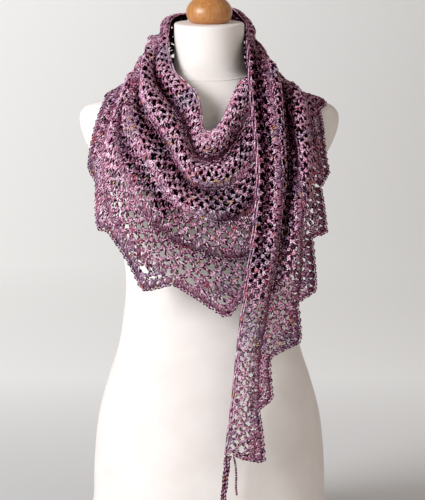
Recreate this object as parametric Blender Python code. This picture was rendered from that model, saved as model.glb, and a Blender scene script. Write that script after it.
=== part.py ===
"""A crocheted lace shawl, worn wound round the neck of a limbless dress form.

Axes: +Z is up, the front of the form faces -Y, and the viewer's right is +X. The origin is the
middle of the form's flat base. Sizes below are in millimetres; Blender gets them in metres.
"""
import math

import bpy
import numpy as np

for old in list(bpy.data.objects):
    bpy.data.objects.remove(old, do_unlink=True)

MM = 0.001

# The dress form: sizes.
NECK_TOP = 785.0        # height of the middle of the neck's flat top
NECK_SLOPE = 0.13       # the top slopes down to the front: mm of height per mm of depth
NECK_BENDS = 735.0      # height from which the neck's sections start to slope
FORM_SIDES = 46         # facets round the torso
KNOB_SIDES = 26         # facets round the turned knob
KNOB_AXIS_Y = -3.0      # the neck leans forward, and the knob with it
ASSEMBLY_GAP = 0.3      # between pieces that touch

# Horizontal sections of the padded torso and neck.
# z: height, half: half width, front and back: depths from the axis, square: superellipse power
FORM_SECTIONS = [
    # z,    half, front, back, square
    (0.0, 169, 112, 112, 2.2),
    (6.0, 173, 115, 115, 2.2),
    (75.0, 177, 118, 124, 2.2),
    (135.0, 175, 117, 127, 2.2),
    (190.0, 169, 112, 120, 2.2),
    (247.0, 154, 104, 104, 2.15),
    (293.0, 139, 96, 91, 2.1),
    (345.0, 130.5, 89, 82, 2.1),
    (385.0, 127, 88, 78, 2.1),
    (430.0, 130, 94, 80, 2.15),
    (490.0, 142, 112, 88, 2.2),
    (540.0, 155, 122, 96, 2.25),
    (583.0, 175, 108, 101, 2.3),
    (608.0, 188, 93, 101, 2.4),
    (630.0, 195, 80, 98, 2.5),
    (645.0, 196, 73, 94, 2.5),
    (655.0, 192, 68, 90, 2.4),
    (662.0, 184, 66, 86, 2.35),
    (667.5, 170, 64, 82, 2.3),
    (673.0, 150, 62, 77, 2.25),
    (680.0, 125, 59, 71, 2.2),
    (688.0, 100, 56, 65, 2.1),
    (697.0, 79, 53, 59, 2.0),
    (709.0, 61, 51.5, 54, 2.0),
    (722.0, 55, 52, 52, 2.0),
    (750.0, 53, 53, 50, 2.0),
    (NECK_TOP, 53, 55, 49, 2.0),
]
BUST_RISE = 14.0        # how far the padding swells forward at each side of the bust
BUST_X = 75.0
BUST_Z = 546.0
BUST_WIDE = 42.0
BUST_HIGH = 48.0

# The wooden knob, turned: height and radius of each step of its outline.
KNOB_SECTIONS = [
    # z,    radius
    (NECK_TOP + ASSEMBLY_GAP, 26.5),
    (787.5, 29.8),
    (791.0, 32.4),
    (797.0, 34.6),
    (804.0, 34.8),
    (811.0, 32.3),
    (817.0, 27.5),
    (822.0, 22.5),
    (829.0, 18.5),
    (836.0, 17.2),
    (843.0, 18.6),
    (849.0, 19.0),
    (854.0, 16.5),
    (857.0, 10.5),
]
KNOB_TIP = 858.0

# The shawl: sizes.
WALL = 2.0              # thickness of the crochet
CLEAR_OF_FORM = 2.9     # middle of the cloth to the form, so that the two nearly touch
SEAM = 0.15             # each stretch stops this far short of its neighbour
COLUMN_STEP = 19.5      # spacing of the mesh along the outer edge

# Ribs cross the shawl from its straight inner edge to its saw-tooth outer edge, in the order in
# which the cloth is wound. Each is a cubic curve: out and up move its two handles away from the
# straight line, outwards from the neck's axis and upwards.
RIBS = [
    # name,               inner x,  y,   z,   outer x,  y,   z,   out0, up0, out3, up3
    ("right end",            77,  -33, 702,    150,  -68, 620,     9,   0,  10,   0),
    ("under the tail",       47,  -68, 698,    127, -120, 466,    24,   0,  30,   0),
    ("beside the tail",      12, -109, 631,     45, -142, 382,    12,   0,  14,   0),
    ("front notch",          -6, -113, 626,    -54, -142, 405,    10,   0,  10,   0),
    ("side notch",          -18,  -90, 679,   -148, -122, 481,    16,   0,  10,   0),
    ("arm notch",           -49,  -55, 709,   -166,  -92, 552,    16,  18,  14,   4),
    ("left shoulder",       -62,    0, 775,   -145,   -8, 682,   -22,  46, -40,  -2),
    ("behind left shoulder", -60,  28, 786,   -149,   71, 665,   -28,  54, -28,   0),
    ("left shoulder blade", -52,   52, 794,   -146,   87, 600,    -8,  76,   6,   0),
    ("middle back",           0,   74, 800,      0,  116, 540,     0, 102,   6,   0),
    ("right shoulder blade", 37,   62, 805,    131,   93, 560,   -14,  88,  12,   0),
    ("behind the shoulder",  55,   28, 785,    158,   73, 651,   -34,  52, -24,   0),
    ("right shoulder",       55,    4, 771,    157,    0, 672,   -24,  28, -52,  -8),
    ("front of shoulder",    55,  -45, 747,    163,  -47, 657,    -3,   8, -22,  -4),
    ("collar bone",          60,  -98, 668,    163,  -88, 604,     8,   6,   4,   0),
    ("tail bust",            68, -144, 563,    162, -124, 543,     6,   0,   6,   0),
    ("tail ribs",            62, -157, 484,    149, -140, 474,     5,   0,   4,   0),
    ("tail waist",           49, -158, 383,    127, -147, 377,     3,   0,   3,   0),
    ("tail hip",             40, -157, 303,     88, -151, 297,     2,   0,   2,   0),
    ("tail low",             32, -155, 225,     71, -151, 220,     1,   0,   1,   0),
    ("tail end",             23, -152, 154,     39, -150, 150,     0,   0,   0,   0),
]
LEFT_SHOULDER = 6       # rib where the front stretch ends
RIGHT_SHOULDER = 12     # rib where the tail starts
TAIL_END = 20

# Points of the saw-tooth edge. Places are counted in ribs: 2.5 is half way from rib 2 to rib 3.
# hollow is over 1 where the side after the tip curves in, and under 1 where it bulges.
TEETH = [
    # starts, tip,   ends,  reach, droop, hollow
    (0.0,   0.30,  1.0,   16,    0,   1.0),
    (1.0,   1.25,  2.0,   24,    0,   1.0),
    (2.0,   2.22,  3.0,   29,    0,   1.6),
    (3.0,   3.30,  4.0,   31,    0,   2.9),
    (4.0,   4.19,  5.0,   14,    0,   1.0),
    (5.0,   5.24,  6.0,   23,    0,   0.8),
    (6.0,   6.60,  7.0,   14,    0,   0.9),
    (7.0,   7.35,  8.0,   18,    0,   1.0),
    (8.0,   8.25,  8.7,   20,    0,   1.0),
    (8.7,   9.00,  9.4,   20,    0,   1.0),
    (9.4,   9.80, 10.2,   20,    0,   1.0),
    (10.2, 10.70, 11.3,   18,    0,   1.0),
    (11.7, 12.50, 13.0,   16,    0,   0.9),
    (13.0, 14.50, 15.0,   14,    4,   1.0),
    (15.0, 15.90, 16.0,   22,    2,   1.0),
    (16.0, 16.79, 17.0,   22,    2,   1.0),
    (17.0, 17.66, 18.0,   34,    2,   1.1),
    (18.0, 18.74, 19.0,   16,    2,   1.0),
    (19.0, 19.88, 20.0,   39,   10,   1.1),
]
TOOTH_ROOT = 0.72       # share of the width, from the inner edge, where a tooth starts to reach out

# Long folds. Places are counted in ribs; across is the share of the width from the inner edge,
# at the fold's start, middle and end. A negative rise is a valley.
FOLDS = [
    # from,  to,   across: start, middle, end,  rise, width
    (0.3,   6.0,        0.07,  0.07,  0.07,   7.0,  0.055),
    (6.1,  12.0,        0.07,  0.08,  0.09,   4.0,  0.055),
    (1.0,   6.1,        0.165, 0.155, 0.16,  -8.0,  0.050),
    (6.1,  12.0,        0.16,  0.16,  0.17,  -4.0,  0.050),
    (1.4,   7.4,        0.28,  0.26,  0.25,  14.0,  0.060),
    (6.6,  10.8,        0.26,  0.30,  0.30,   8.0,  0.060),
    (1.6,   8.4,        0.375, 0.385, 0.40,  -9.0,  0.045),
    (2.0,   9.2,        0.48,  0.50,  0.52,  11.0,  0.055),
    (2.6,   8.8,        0.58,  0.62,  0.63,  -7.0,  0.045),
    (3.4,   8.4,        0.70,  0.74,  0.74,   8.0,  0.055),
    (1.3,   3.8,        0.80,  0.76,  0.70,  -4.0,  0.050),
    (12.0, 16.6,        0.18,  0.18,  0.20,  -6.0,  0.050),
    (12.1, 17.2,        0.34,  0.36,  0.36,  10.0,  0.080),
    (12.4, 16.6,        0.54,  0.53,  0.56,  -9.0,  0.050),
    (11.8, 17.0,        0.72,  0.72,  0.74,   9.0,  0.080),
    (16.2, 19.6,        0.20,  0.32,  0.60,   5.0,  0.100),
]
FOLD_FADE = 0.7         # ribs over which a fold rises and dies away

# Mesh rows across the width. The back has twice the tail's, so that they meet row to row.
FRONT_ROWS = 34
BACK_ROWS = 34
TAIL_ROWS = 17

# The tail ends in a twisted thick end and a thin strand: centre line and half sizes.
TWIST_PATH = [
    # x,    y,     z,    half width, half depth
    (28.0, -151.4, 151.2, 4.6, 2.2),
    (26.0, -151.6, 140.0, 5.6, 2.8),
    (24.5, -151.8, 122.0, 5.2, 2.8),
    (22.5, -152.0, 104.0, 4.8, 2.6),
    (21.0, -152.0,  88.0, 4.4, 2.6),
    (20.5, -151.6,  72.0, 4.0, 2.4),
    (21.5, -151.2,  60.0, 3.2, 2.0),
]
TWIST_TURNS = 1.4
STRAND_PATH = [
    # x,    y,     z,    half width, half depth
    (36.0, -150.4, 150.0, 1.6, 1.4),
    (38.6, -149.8, 138.0, 2.0, 1.6),
    (39.8, -149.4, 122.0, 2.0, 1.6),
    (39.4, -149.4, 106.0, 1.8, 1.5),
    (40.6, -149.4,  93.0, 1.4, 1.3),
]


# Curves.
def spline(knots, values, at):
    """Smooth curve through values at knots, evaluated at many places."""
    knots = np.asarray(knots, float)
    values = np.asarray(values, float)
    at = np.clip(np.asarray(at, float), knots[0], knots[-1])
    gaps = np.diff(knots)
    shape = (-1,) + (1,) * (values.ndim - 1)
    slopes = np.diff(values, axis=0) / gaps.reshape(shape)
    tangents = np.empty_like(values)
    tangents[0], tangents[-1] = slopes[0], slopes[-1]
    left, right = gaps[:-1].reshape(shape), gaps[1:].reshape(shape)
    tangents[1:-1] = (slopes[:-1] * right + slopes[1:] * left) / (left + right)
    cell = np.clip(np.searchsorted(knots, at, side="right") - 1, 0, len(gaps) - 1)
    wide = gaps[cell]
    t = (at - knots[cell]) / wide
    shape = t.shape + (1,) * (values.ndim - 1)
    t, wide = t.reshape(shape), wide.reshape(shape)
    return ((2 * t**3 - 3 * t**2 + 1) * values[cell] + (t**3 - 2 * t**2 + t) * wide * tangents[cell]
            + (3 * t**2 - 2 * t**3) * values[cell + 1] + (t**3 - t**2) * wide * tangents[cell + 1])


def smooth(x):
    x = np.clip(x, 0.0, 1.0)
    return x * x * (3 - 2 * x)


# The form's surface.
SECTION = np.array(FORM_SECTIONS)


def form_section(z):
    """half, front, back, square at height z."""
    return spline(SECTION[:, 0], SECTION[:, 1:], z)


def bust(x, z):
    side = (np.abs(x) - BUST_X) / BUST_WIDE
    up = (z - BUST_Z) / BUST_HIGH
    return BUST_RISE * np.exp(-side**2 - up**2)


def outside_form(p):
    """About how far each point is outside the form, in mm; negative inside."""
    def level(q):
        x, y, z = q[..., 0], q[..., 1], q[..., 2]
        half, front, back, square = np.moveaxis(form_section(z), -1, 0)
        depth = np.where(y < 0, front + bust(x, z), back)
        return (np.abs(x / half)**square + np.abs(y / depth)**square)**(1 / square) - 1
    here = level(p)
    step = 0.5
    slope = np.stack([(level(p + step * np.eye(3)[k]) - level(p - step * np.eye(3)[k])) / (2 * step)
                      for k in range(3)], axis=-1)
    steep = np.maximum(np.linalg.norm(slope, axis=-1), 1e-5)
    return here / steep, slope / steep[..., None]


def rest_on_form(p, clear):
    """Push points that are too close to the form out to where the cloth lies on it."""
    p = np.array(p, float)
    for _ in range(4):
        away, out = outside_form(p)
        push = np.clip(clear - away, 0, 12)
        p += out * push[..., None]
    return p


# The shawl's surface.
RIB = np.array([row[1:] for row in RIBS], float)


def rib_points():
    """The four control points of every rib."""
    inner, outer = RIB[:, 0:3], RIB[:, 3:6]
    third = (outer - inner) / 3

    def away(p):
        flat = p * (1, 1, 0)
        return flat / np.linalg.norm(flat, axis=1, keepdims=True)
    up = np.array([0, 0, 1.0])
    first = inner + third + away(inner) * RIB[:, 6:7] + up * RIB[:, 7:8]
    last = outer - third + away(outer) * RIB[:, 8:9] + up * RIB[:, 9:10]
    return np.stack([inner, first, last, outer], axis=1)


CONTROL = rib_points()
MIDDLE = CONTROL.mean(axis=1)
STATION = np.concatenate([[0], np.cumsum(np.linalg.norm(np.diff(MIDDLE, axis=0), axis=1))])
OUTER = CONTROL[:, 3]
HEM_STATION = np.concatenate([[0], np.cumsum(np.linalg.norm(np.diff(OUTER, axis=0), axis=1))])


def station(place):
    """Length along the shawl, in mm, of a place counted in ribs."""
    return np.interp(place, np.arange(len(STATION)), STATION)


def place_of(length):
    return np.interp(length, STATION, np.arange(len(STATION)))


def hem_station(place):
    """Length along the outer ends of the ribs."""
    return np.interp(place, np.arange(len(HEM_STATION)), HEM_STATION)


def tooth_reach(place):
    """How far the saw-tooth edge reaches out and droops at each place."""
    reach = np.zeros_like(place)
    droop = np.zeros_like(place)
    for starts, tip, ends, out, down, hollow in TEETH:
        rise = np.clip((place - starts) / (tip - starts), 0, 1)
        fall = np.clip((ends - place) / (ends - tip), 0, 1)
        peak = np.minimum(rise, fall**hollow)
        reach = np.maximum(reach, out * peak)
        droop = np.maximum(droop, down * peak)
    return reach, droop


STEPS = 40


def rib_parameters():
    """For each rib, the curve parameter at even steps of its real length."""
    t = np.linspace(0, 1, 4 * STEPS + 1)
    weights = np.stack([(1 - t)**3, 3 * (1 - t)**2 * t, 3 * (1 - t) * t**2, t**3])
    rows = []
    for control in CONTROL:
        steps = np.linalg.norm(np.diff(weights.T @ control, axis=0), axis=1)
        run = np.concatenate([[0], np.cumsum(steps)])
        rows.append(np.interp(np.linspace(0, run[-1], STEPS + 1), run, t))
    return np.array(rows)


PARAMETER = rib_parameters()


def parameter(place, across):
    """The curve parameter where the cloth's real width has the share across."""
    rib = np.clip(np.floor(place), 0, TAIL_END - 1).astype(int)
    past = place - rib
    at = across * STEPS
    low = np.clip(np.floor(at), 0, STEPS - 1).astype(int)
    rest = at - low
    here = PARAMETER[rib, low] * (1 - rest) + PARAMETER[rib, low + 1] * rest
    after = PARAMETER[rib + 1, low] * (1 - rest) + PARAMETER[rib + 1, low + 1] * rest
    return here * (1 - past) + after * past


def base_surface(place, across):
    """Points of the smooth shawl, without folds. place and across have the same shape."""
    control = spline(STATION, CONTROL, station(place))
    t = parameter(place, across)[..., None]
    p0, p1, p2, p3 = (control[..., k, :] for k in range(4))
    p = (1 - t)**3 * p0 + 3 * (1 - t)**2 * t * p1 + 3 * (1 - t) * t**2 * p2 + t**3 * p3
    end = p3 - p2
    end = end / np.linalg.norm(end, axis=-1, keepdims=True)
    reach, droop = tooth_reach(place)
    pull = np.clip((across - TOOTH_ROOT) / (1 - TOOTH_ROOT), 0, 1)**1.6
    p = p + end * (reach * pull)[..., None]
    p[..., 2] -= droop * pull
    return p


def fold_rise(place, across):
    total = np.zeros_like(place)
    for start, stop, first, middle, last, rise, width in FOLDS:
        along = (place - start) / (stop - start)
        centre = np.where(along < 0.5, first + (middle - first) * smooth(along * 2),
                          middle + (last - middle) * smooth(along * 2 - 1))
        fade = smooth((place - start) / FOLD_FADE) * smooth((stop - place) / FOLD_FADE)
        total = total + rise * fade * np.exp(-((across - centre) / width)**2)
    return total


def shawl_surface(place, across):
    """The middle of the cloth and its outward direction."""
    def folded(k, s):
        p = base_surface(k, s)
        dk, ds = 0.02, 0.01
        along = base_surface(np.clip(k + dk, 0, TAIL_END), s) - base_surface(np.clip(k - dk, 0, TAIL_END), s)
        cross = base_surface(k, s + ds) - base_surface(k, s - ds)
        out = np.cross(along, cross)
        out /= np.maximum(np.linalg.norm(out, axis=-1, keepdims=True), 1e-9)
        return p + out * fold_rise(k, s)[..., None]
    return rest_on_form(folded(place, across), CLEAR_OF_FORM)


def columns(first, last):
    """Places of the mesh columns: each rib and each tooth point has one, with others between."""
    marks = {float(first), float(last)}
    marks.update(float(k) for k in range(math.ceil(first), math.floor(last) + 1))
    for row in TEETH:
        marks.update(float(k) for k in row[:3] if first < k < last)
    marks = sorted(marks)
    places = [marks[0]]
    for a, b in zip(marks, marks[1:]):
        count = max(1, round((hem_station(b) - hem_station(a)) / COLUMN_STEP))
        places += [a + (b - a) * (i + 1) / count for i in range(count)]
    return np.array(places)


def grid_directions(p):
    """Outward direction at each point of a grid of points."""
    along = np.gradient(p, axis=0)
    cross = np.gradient(p, axis=1)
    out = np.cross(along, cross)
    return out / np.linalg.norm(out, axis=-1, keepdims=True)


# Solids.
def solid(name, points, faces, colour, roughness):
    mesh = bpy.data.meshes.new(name)
    mesh.from_pydata([tuple(float(c) * MM for c in p) for p in points], [], faces)
    mesh.validate()
    material = bpy.data.materials.new(name + " material")
    material.use_nodes = True
    shader = material.node_tree.nodes["Principled BSDF"]
    shader.inputs["Base Color"].default_value = (*colour, 1.0)
    shader.inputs["Roughness"].default_value = roughness
    shader.inputs["Metallic"].default_value = 0.0
    mesh.materials.append(material)
    thing = bpy.data.objects.new(name, mesh)
    bpy.context.scene.collection.objects.link(thing)
    return thing


def wall_from_grid(name, middle, out, colour):
    """A cloth wall of even thickness round a grid of points and their outward directions."""
    out = out * WALL / 2
    rows, cols = middle.shape[:2]
    points = np.concatenate([(middle + out).reshape(-1, 3), (middle - out).reshape(-1, 3)])
    back = rows * cols

    def at(i, j):
        return i * cols + j
    faces = []
    for i in range(rows - 1):
        for j in range(cols - 1):
            a, b, c, d = at(i, j), at(i + 1, j), at(i + 1, j + 1), at(i, j + 1)
            faces += [(a, b, c), (a, c, d)]
            faces += [(back + a, back + c, back + b), (back + a, back + d, back + c)]
    ring = [at(i, 0) for i in range(rows)] + [at(rows - 1, j) for j in range(1, cols)]
    ring += [at(i, cols - 1) for i in range(rows - 2, -1, -1)] + [at(0, j) for j in range(cols - 2, 0, -1)]
    for a, b in zip(ring, ring[1:] + ring[:1]):
        faces += [(a, back + b, b), (a, back + a, back + b)]
    return solid(name, points, faces, colour, 0.9)


def lofted(name, rings, colour, roughness):
    """A closed solid through rings of points, all with the same count, with flat ends."""
    rings = np.asarray(rings)
    count = rings.shape[1]
    points = [*rings.reshape(-1, 3), rings[0].mean(axis=0), rings[-1].mean(axis=0)]
    low, high = len(points) - 2, len(points) - 1
    faces = []
    for i in range(len(rings) - 1):
        for j in range(count):
            a, b = i * count + j, i * count + (j + 1) % count
            faces += [(a, b, b + count), (a, b + count, a + count)]
    top = (len(rings) - 1) * count
    for j in range(count):
        faces.append((low, (j + 1) % count, j))
        faces.append((high, top + j, top + (j + 1) % count))
    return solid(name, points, faces, colour, roughness)


def form_torso():
    turn = np.arange(FORM_SIDES) * 2 * math.pi / FORM_SIDES
    rings = []
    for z, half, front, back, square in FORM_SECTIONS:
        c, s = np.cos(turn), np.sin(turn)
        x = half * np.sign(c) * np.abs(c)**(2 / square)
        depth = np.where(s < 0, front + bust(x, z), back)
        y = depth * np.sign(s) * np.abs(s)**(2 / square)
        tilt = NECK_SLOPE * smooth((z - NECK_BENDS) / (NECK_TOP - NECK_BENDS))
        rings.append(np.stack([x, y, z + tilt * (y - KNOB_AXIS_Y)], axis=1))
    lofted("form_torso", rings, (0.72, 0.67, 0.58), 0.85)


def form_knob():
    """The knob leans forward with the neck's top."""
    turn = np.arange(KNOB_SIDES) * 2 * math.pi / KNOB_SIDES
    lean = math.atan(NECK_SLOPE)
    base = NECK_TOP + ASSEMBLY_GAP
    rings = []
    for z, radius in KNOB_SECTIONS + [(KNOB_TIP, 4.0)]:
        up, depth = z - base, radius * np.sin(turn)
        rings.append(np.stack([radius * np.cos(turn),
                               KNOB_AXIS_Y + depth * math.cos(lean) - up * math.sin(lean),
                               base + up * math.cos(lean) + depth * math.sin(lean)], axis=1))
    lofted("form_knob", rings, (0.42, 0.22, 0.09), 0.35)


def stretch_of_shawl(name, first, last, rows, colour):
    """One node of the shawl, between two places along it."""
    every = columns(0, TAIL_END)
    start = int(np.argmin(np.abs(every - first)))
    stop = int(np.argmin(np.abs(every - last)))
    low, high = max(start - 1, 0), min(stop + 1, len(every) - 1)
    k, s = np.meshgrid(every[low:high + 1], np.linspace(0, 1, rows + 1), indexing="ij")
    middle = shawl_surface(k, s)
    out = grid_directions(middle)
    middle, out = middle[start - low:stop - low + 1], out[start - low:stop - low + 1]
    for end, near, cut in ((0, 1, start > 0), (-1, -2, stop < len(every) - 1)):
        if cut and rows > TAIL_ROWS and every[(start, stop)[end]] > LEFT_SHOULDER + 1:
            for grid in (middle, out):
                grid[end, 1::2] = (grid[end, :-1:2] + grid[end, 2::2]) / 2
        if cut:
            edge = middle[end] - middle[near]
            edge /= np.linalg.norm(edge, axis=-1, keepdims=True)
            middle[end] -= edge * SEAM
    return wall_from_grid(name, middle, out, colour)


def hanging_end(name, path, turns, lobes, colour):
    """A thin end of the shawl that hangs free; lobes make it a two-ply twist."""
    path = np.array(path)
    steps = np.linspace(0, 1, 6 * len(path))
    line = spline(np.linspace(0, 1, len(path)), path, steps)
    rings = []
    for f, (x, y, z, wide, deep) in zip(steps, line):
        round_off = math.sqrt(max(0.08, 1 - max(0.0, (f - 0.94) / 0.06)**2))
        turn = np.arange(10) * 2 * math.pi / 10
        u = wide * round_off * np.cos(turn) * (1 - lobes + lobes * np.abs(np.cos(turn)))
        v = deep * round_off * np.sin(turn)
        angle = turns * 2 * math.pi * f
        rings.append(np.stack([x + u * math.cos(angle) - v * math.sin(angle),
                               y + u * math.sin(angle) + v * math.cos(angle),
                               np.full_like(u, z)], axis=1))
    return lofted(name, rings[::-1], colour, 0.9)


form_torso()
form_knob()
stretch_of_shawl("shawl_front", 0, LEFT_SHOULDER, FRONT_ROWS, (0.20, 0.11, 0.17))
stretch_of_shawl("shawl_back", LEFT_SHOULDER, RIGHT_SHOULDER, BACK_ROWS, (0.20, 0.12, 0.18))
stretch_of_shawl("shawl_tail", RIGHT_SHOULDER, TAIL_END, TAIL_ROWS, (0.19, 0.10, 0.17))
hanging_end("shawl_twist", TWIST_PATH, TWIST_TURNS, 0.25, (0.21, 0.10, 0.13))
hanging_end("shawl_strand", STRAND_PATH, 2.0, 0.0, (0.23, 0.10, 0.14))
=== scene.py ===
# %% [markdown]
# # A crocheted lace shawl on a dress form
#
# This script dresses a plain solid model with what a camera would see: a limbless form in cream
# jersey, a turned wooden knob, and an open crochet shawl in variegated yarn. The shawl is real
# geometry: every chain and every stitch is a little tube of yarn laid on a curved surface.
#
# The steps are: load the solids, set up camera and light, make the materials, build the form,
# work out the shawl's surface, and then crochet on it.

# %% Load the solid model
import math

import bpy
import numpy as np
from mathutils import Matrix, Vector


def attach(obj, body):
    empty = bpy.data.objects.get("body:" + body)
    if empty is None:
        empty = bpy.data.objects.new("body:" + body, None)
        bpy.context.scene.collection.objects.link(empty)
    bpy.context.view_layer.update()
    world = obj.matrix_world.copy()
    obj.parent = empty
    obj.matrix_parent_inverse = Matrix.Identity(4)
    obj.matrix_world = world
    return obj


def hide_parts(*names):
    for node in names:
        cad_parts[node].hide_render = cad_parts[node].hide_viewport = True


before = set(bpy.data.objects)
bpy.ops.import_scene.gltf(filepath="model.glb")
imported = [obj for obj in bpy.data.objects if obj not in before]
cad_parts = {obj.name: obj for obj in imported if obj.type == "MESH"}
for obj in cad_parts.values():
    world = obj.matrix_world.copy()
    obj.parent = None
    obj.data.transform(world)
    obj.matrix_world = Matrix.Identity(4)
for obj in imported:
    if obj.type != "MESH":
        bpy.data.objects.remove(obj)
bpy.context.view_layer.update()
MM = 0.001
print("solids:", ", ".join(sorted(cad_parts)))

# %% [markdown]
# ## Camera and light
#
# A long lens from three metres away keeps the form's proportions, and it looks slightly down, as
# a standing person does. A real room lights cloth softly, so the lights are large: a key from the
# left, a weaker fill from the right, and a pale world that keeps the shadows open. Small lamps
# would give hard shadows, which a room with a window doesn't have.

# %% Camera
CAMERA_TARGET = Vector((0.005, -0.050, 0.445))
CAMERA_DISTANCE = 3.0
CAMERA_DOWN = math.radians(5)
VIEW_HALF_HEIGHT = 0.375        # metres seen above and below the target
SENSOR = 36.0

scene = bpy.context.scene
camera_data = bpy.data.cameras.new("camera")
camera_data.sensor_width = SENSOR
camera_data.lens = SENSOR / 2 * CAMERA_DISTANCE / VIEW_HALF_HEIGHT
camera = bpy.data.objects.new("camera", camera_data)
looking = Vector((0, math.cos(CAMERA_DOWN), -math.sin(CAMERA_DOWN)))
camera.location = CAMERA_TARGET - looking * CAMERA_DISTANCE
camera.rotation_euler = looking.to_track_quat("-Z", "Y").to_euler()
scene.collection.objects.link(camera)
scene.camera = camera
print(f"camera: {camera_data.lens:.0f} mm lens, {CAMERA_DISTANCE} m away")

# %% Lights
LIGHTS_AIM = Vector((0, 0, 0.45))       # the middle of the form


def colour(hex_code):
    """An sRGB hex colour as the linear values that shader sockets take."""
    channels = [int(hex_code[i:i + 2], 16) / 255 for i in (1, 3, 5)]
    linear = [c / 12.92 if c <= 0.04045 else ((c + 0.055) / 1.055)**2.4 for c in channels]
    return (*linear, 1.0)


def area_light(name, place, size, power, tint):
    """place and size in metres, power in watts"""
    light = bpy.data.lights.new(name, "AREA")
    light.shape = "RECTANGLE"
    light.size, light.size_y = size
    light.energy = power
    light.color = colour(tint)[:3]
    lamp = bpy.data.objects.new(name, light)
    lamp.location = place
    lamp.rotation_euler = (LIGHTS_AIM - Vector(place)).to_track_quat("-Z", "Y").to_euler()
    scene.collection.objects.link(lamp)


area_light("key", (-1.9, -1.65, 1.4), (1.2, 1.3), 75, "#F8FAFF")
area_light("fill", (1.6, -1.9, 1.6), (1.6, 1.6), 10, "#FFF4E8")
world = bpy.data.worlds.new("soft room")
scene.world = world
world.use_nodes = True
world.node_tree.nodes["Background"].inputs["Color"].default_value = colour("#F8EEE8")
world.node_tree.nodes["Background"].inputs["Strength"].default_value = 0.30
scene.view_settings.view_transform = "Standard"

# %% [markdown]
# ## Materials
#
# A material is a small tree of nodes that ends in the Principled shader. One helper adds a node
# with its settings and links, so that each material below reads as a list of what feeds what.
# Every colour is written as an sRGB hex code and turned into linear light. Pattern sizes come
# from millimetres: a Noise texture's Scale is about one over the size of its blobs in metres, and
# a Wave texture repeats every 2 pi / (20 x Scale).

# %% Node helper
MIX_FIRST, MIX_SECOND, MIXED = 6, 7, 2      # a Mix node's colour sockets share their names


def feed(tree, made, inputs):
    """Fills inputs, by name or number: each with a value, or with (other node, its output)."""
    for key, value in inputs.items():
        socket = made.inputs[key]
        if isinstance(value, tuple) and isinstance(value[0], bpy.types.Node):
            tree.links.new(value[0].outputs[value[1]], socket)
        else:
            socket.default_value = value


def node(tree, kind, inputs, stops=(), **settings):
    """Adds a node with its settings and inputs, and a colour ramp's stops: (place, colour)."""
    made = tree.nodes.new(kind)
    for key, value in settings.items():
        setattr(made, key, value)
    if stops:
        points = made.color_ramp.elements
        while len(points) < len(stops):
            points.new(0.5)
        for point, (place, hex_code) in zip(points, stops):
            point.position = place
            point.color = colour(hex_code)
    feed(tree, made, inputs)
    return made


def new_material(name):
    made = bpy.data.materials.new(name)
    made.use_nodes = True
    return made, made.node_tree, made.node_tree.nodes["Principled BSDF"]


def wave_scale(period_mm):
    """The Scale of a Wave texture that repeats every so many millimetres."""
    return 2 * math.pi / (20 * period_mm * MM)


def noise_scale(size_mm):
    """The Scale of a Noise texture whose blobs are so many millimetres across."""
    return 1 / (size_mm * MM)


print(f"a wave of 1 mm has Scale {wave_scale(1):.0f}, noise of 1 mm has Scale {noise_scale(1):.0f}")

# %% [markdown]
# ### Variegated yarn
#
# The dye changes along the yarn, not across the cloth, so each tube of yarn carries its own
# length in millimetres as an attribute called `yarn`. A one-dimensional noise of that length
# picks the colour. A second, rarer noise drops in short flecks of rose and gold, and a wide noise
# in space turns whole patches towards grey-blue. An image wrapped on the tubes could do the same,
# but it would need a UV map for every stitch.
#
# Yarn is fuzzy, so the side that lies deep in the stitch gets hardly any light. A second
# attribute, `lit`, says how high each point stands in its stitch and in its fold. It darkens the
# low points and takes their gloss away. Wool itself is fairly rough, with an IOR near 1.5.

# %% Yarn material
YARN_STOPS = [(0.0, "#702C52"), (0.22, "#A86084"), (0.42, "#D49ABA"), (0.58, "#FFDCEA"),
              (0.76, "#C080A4"), (1.0, "#FFFAFC")]
SLATE_STOPS = [(0.0, "#5A4A66"), (0.35, "#90809E"), (0.65, "#C0B0CA"), (1.0, "#EEE6F0")]
FLECK_STOPS = [(0.40, "#C8486C"), (0.52, "#DC7C74"), (0.62, "#ECBA6C")]
# Painted shade: the ramp by which `lit` darkens the dyed colour.
LIT_STOPS = [(0.48, "#060103"), (0.66, "#3A182A"), (0.81, "#C4A0B2"), (0.92, "#FFFFFF")]
DYE_STEP = 10.0         # mm of yarn in one colour
FLECK_STEP = 34.0       # mm of yarn from one fleck to the next
FLECK_SPOT = 13.0       # mm across a spot of cloth where the flecks of neighbouring rows meet
PATCH = 38.0            # mm across a patch of cloth that leans to one dye
PLY = 1.1               # mm across a bump of the plied yarn


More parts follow.
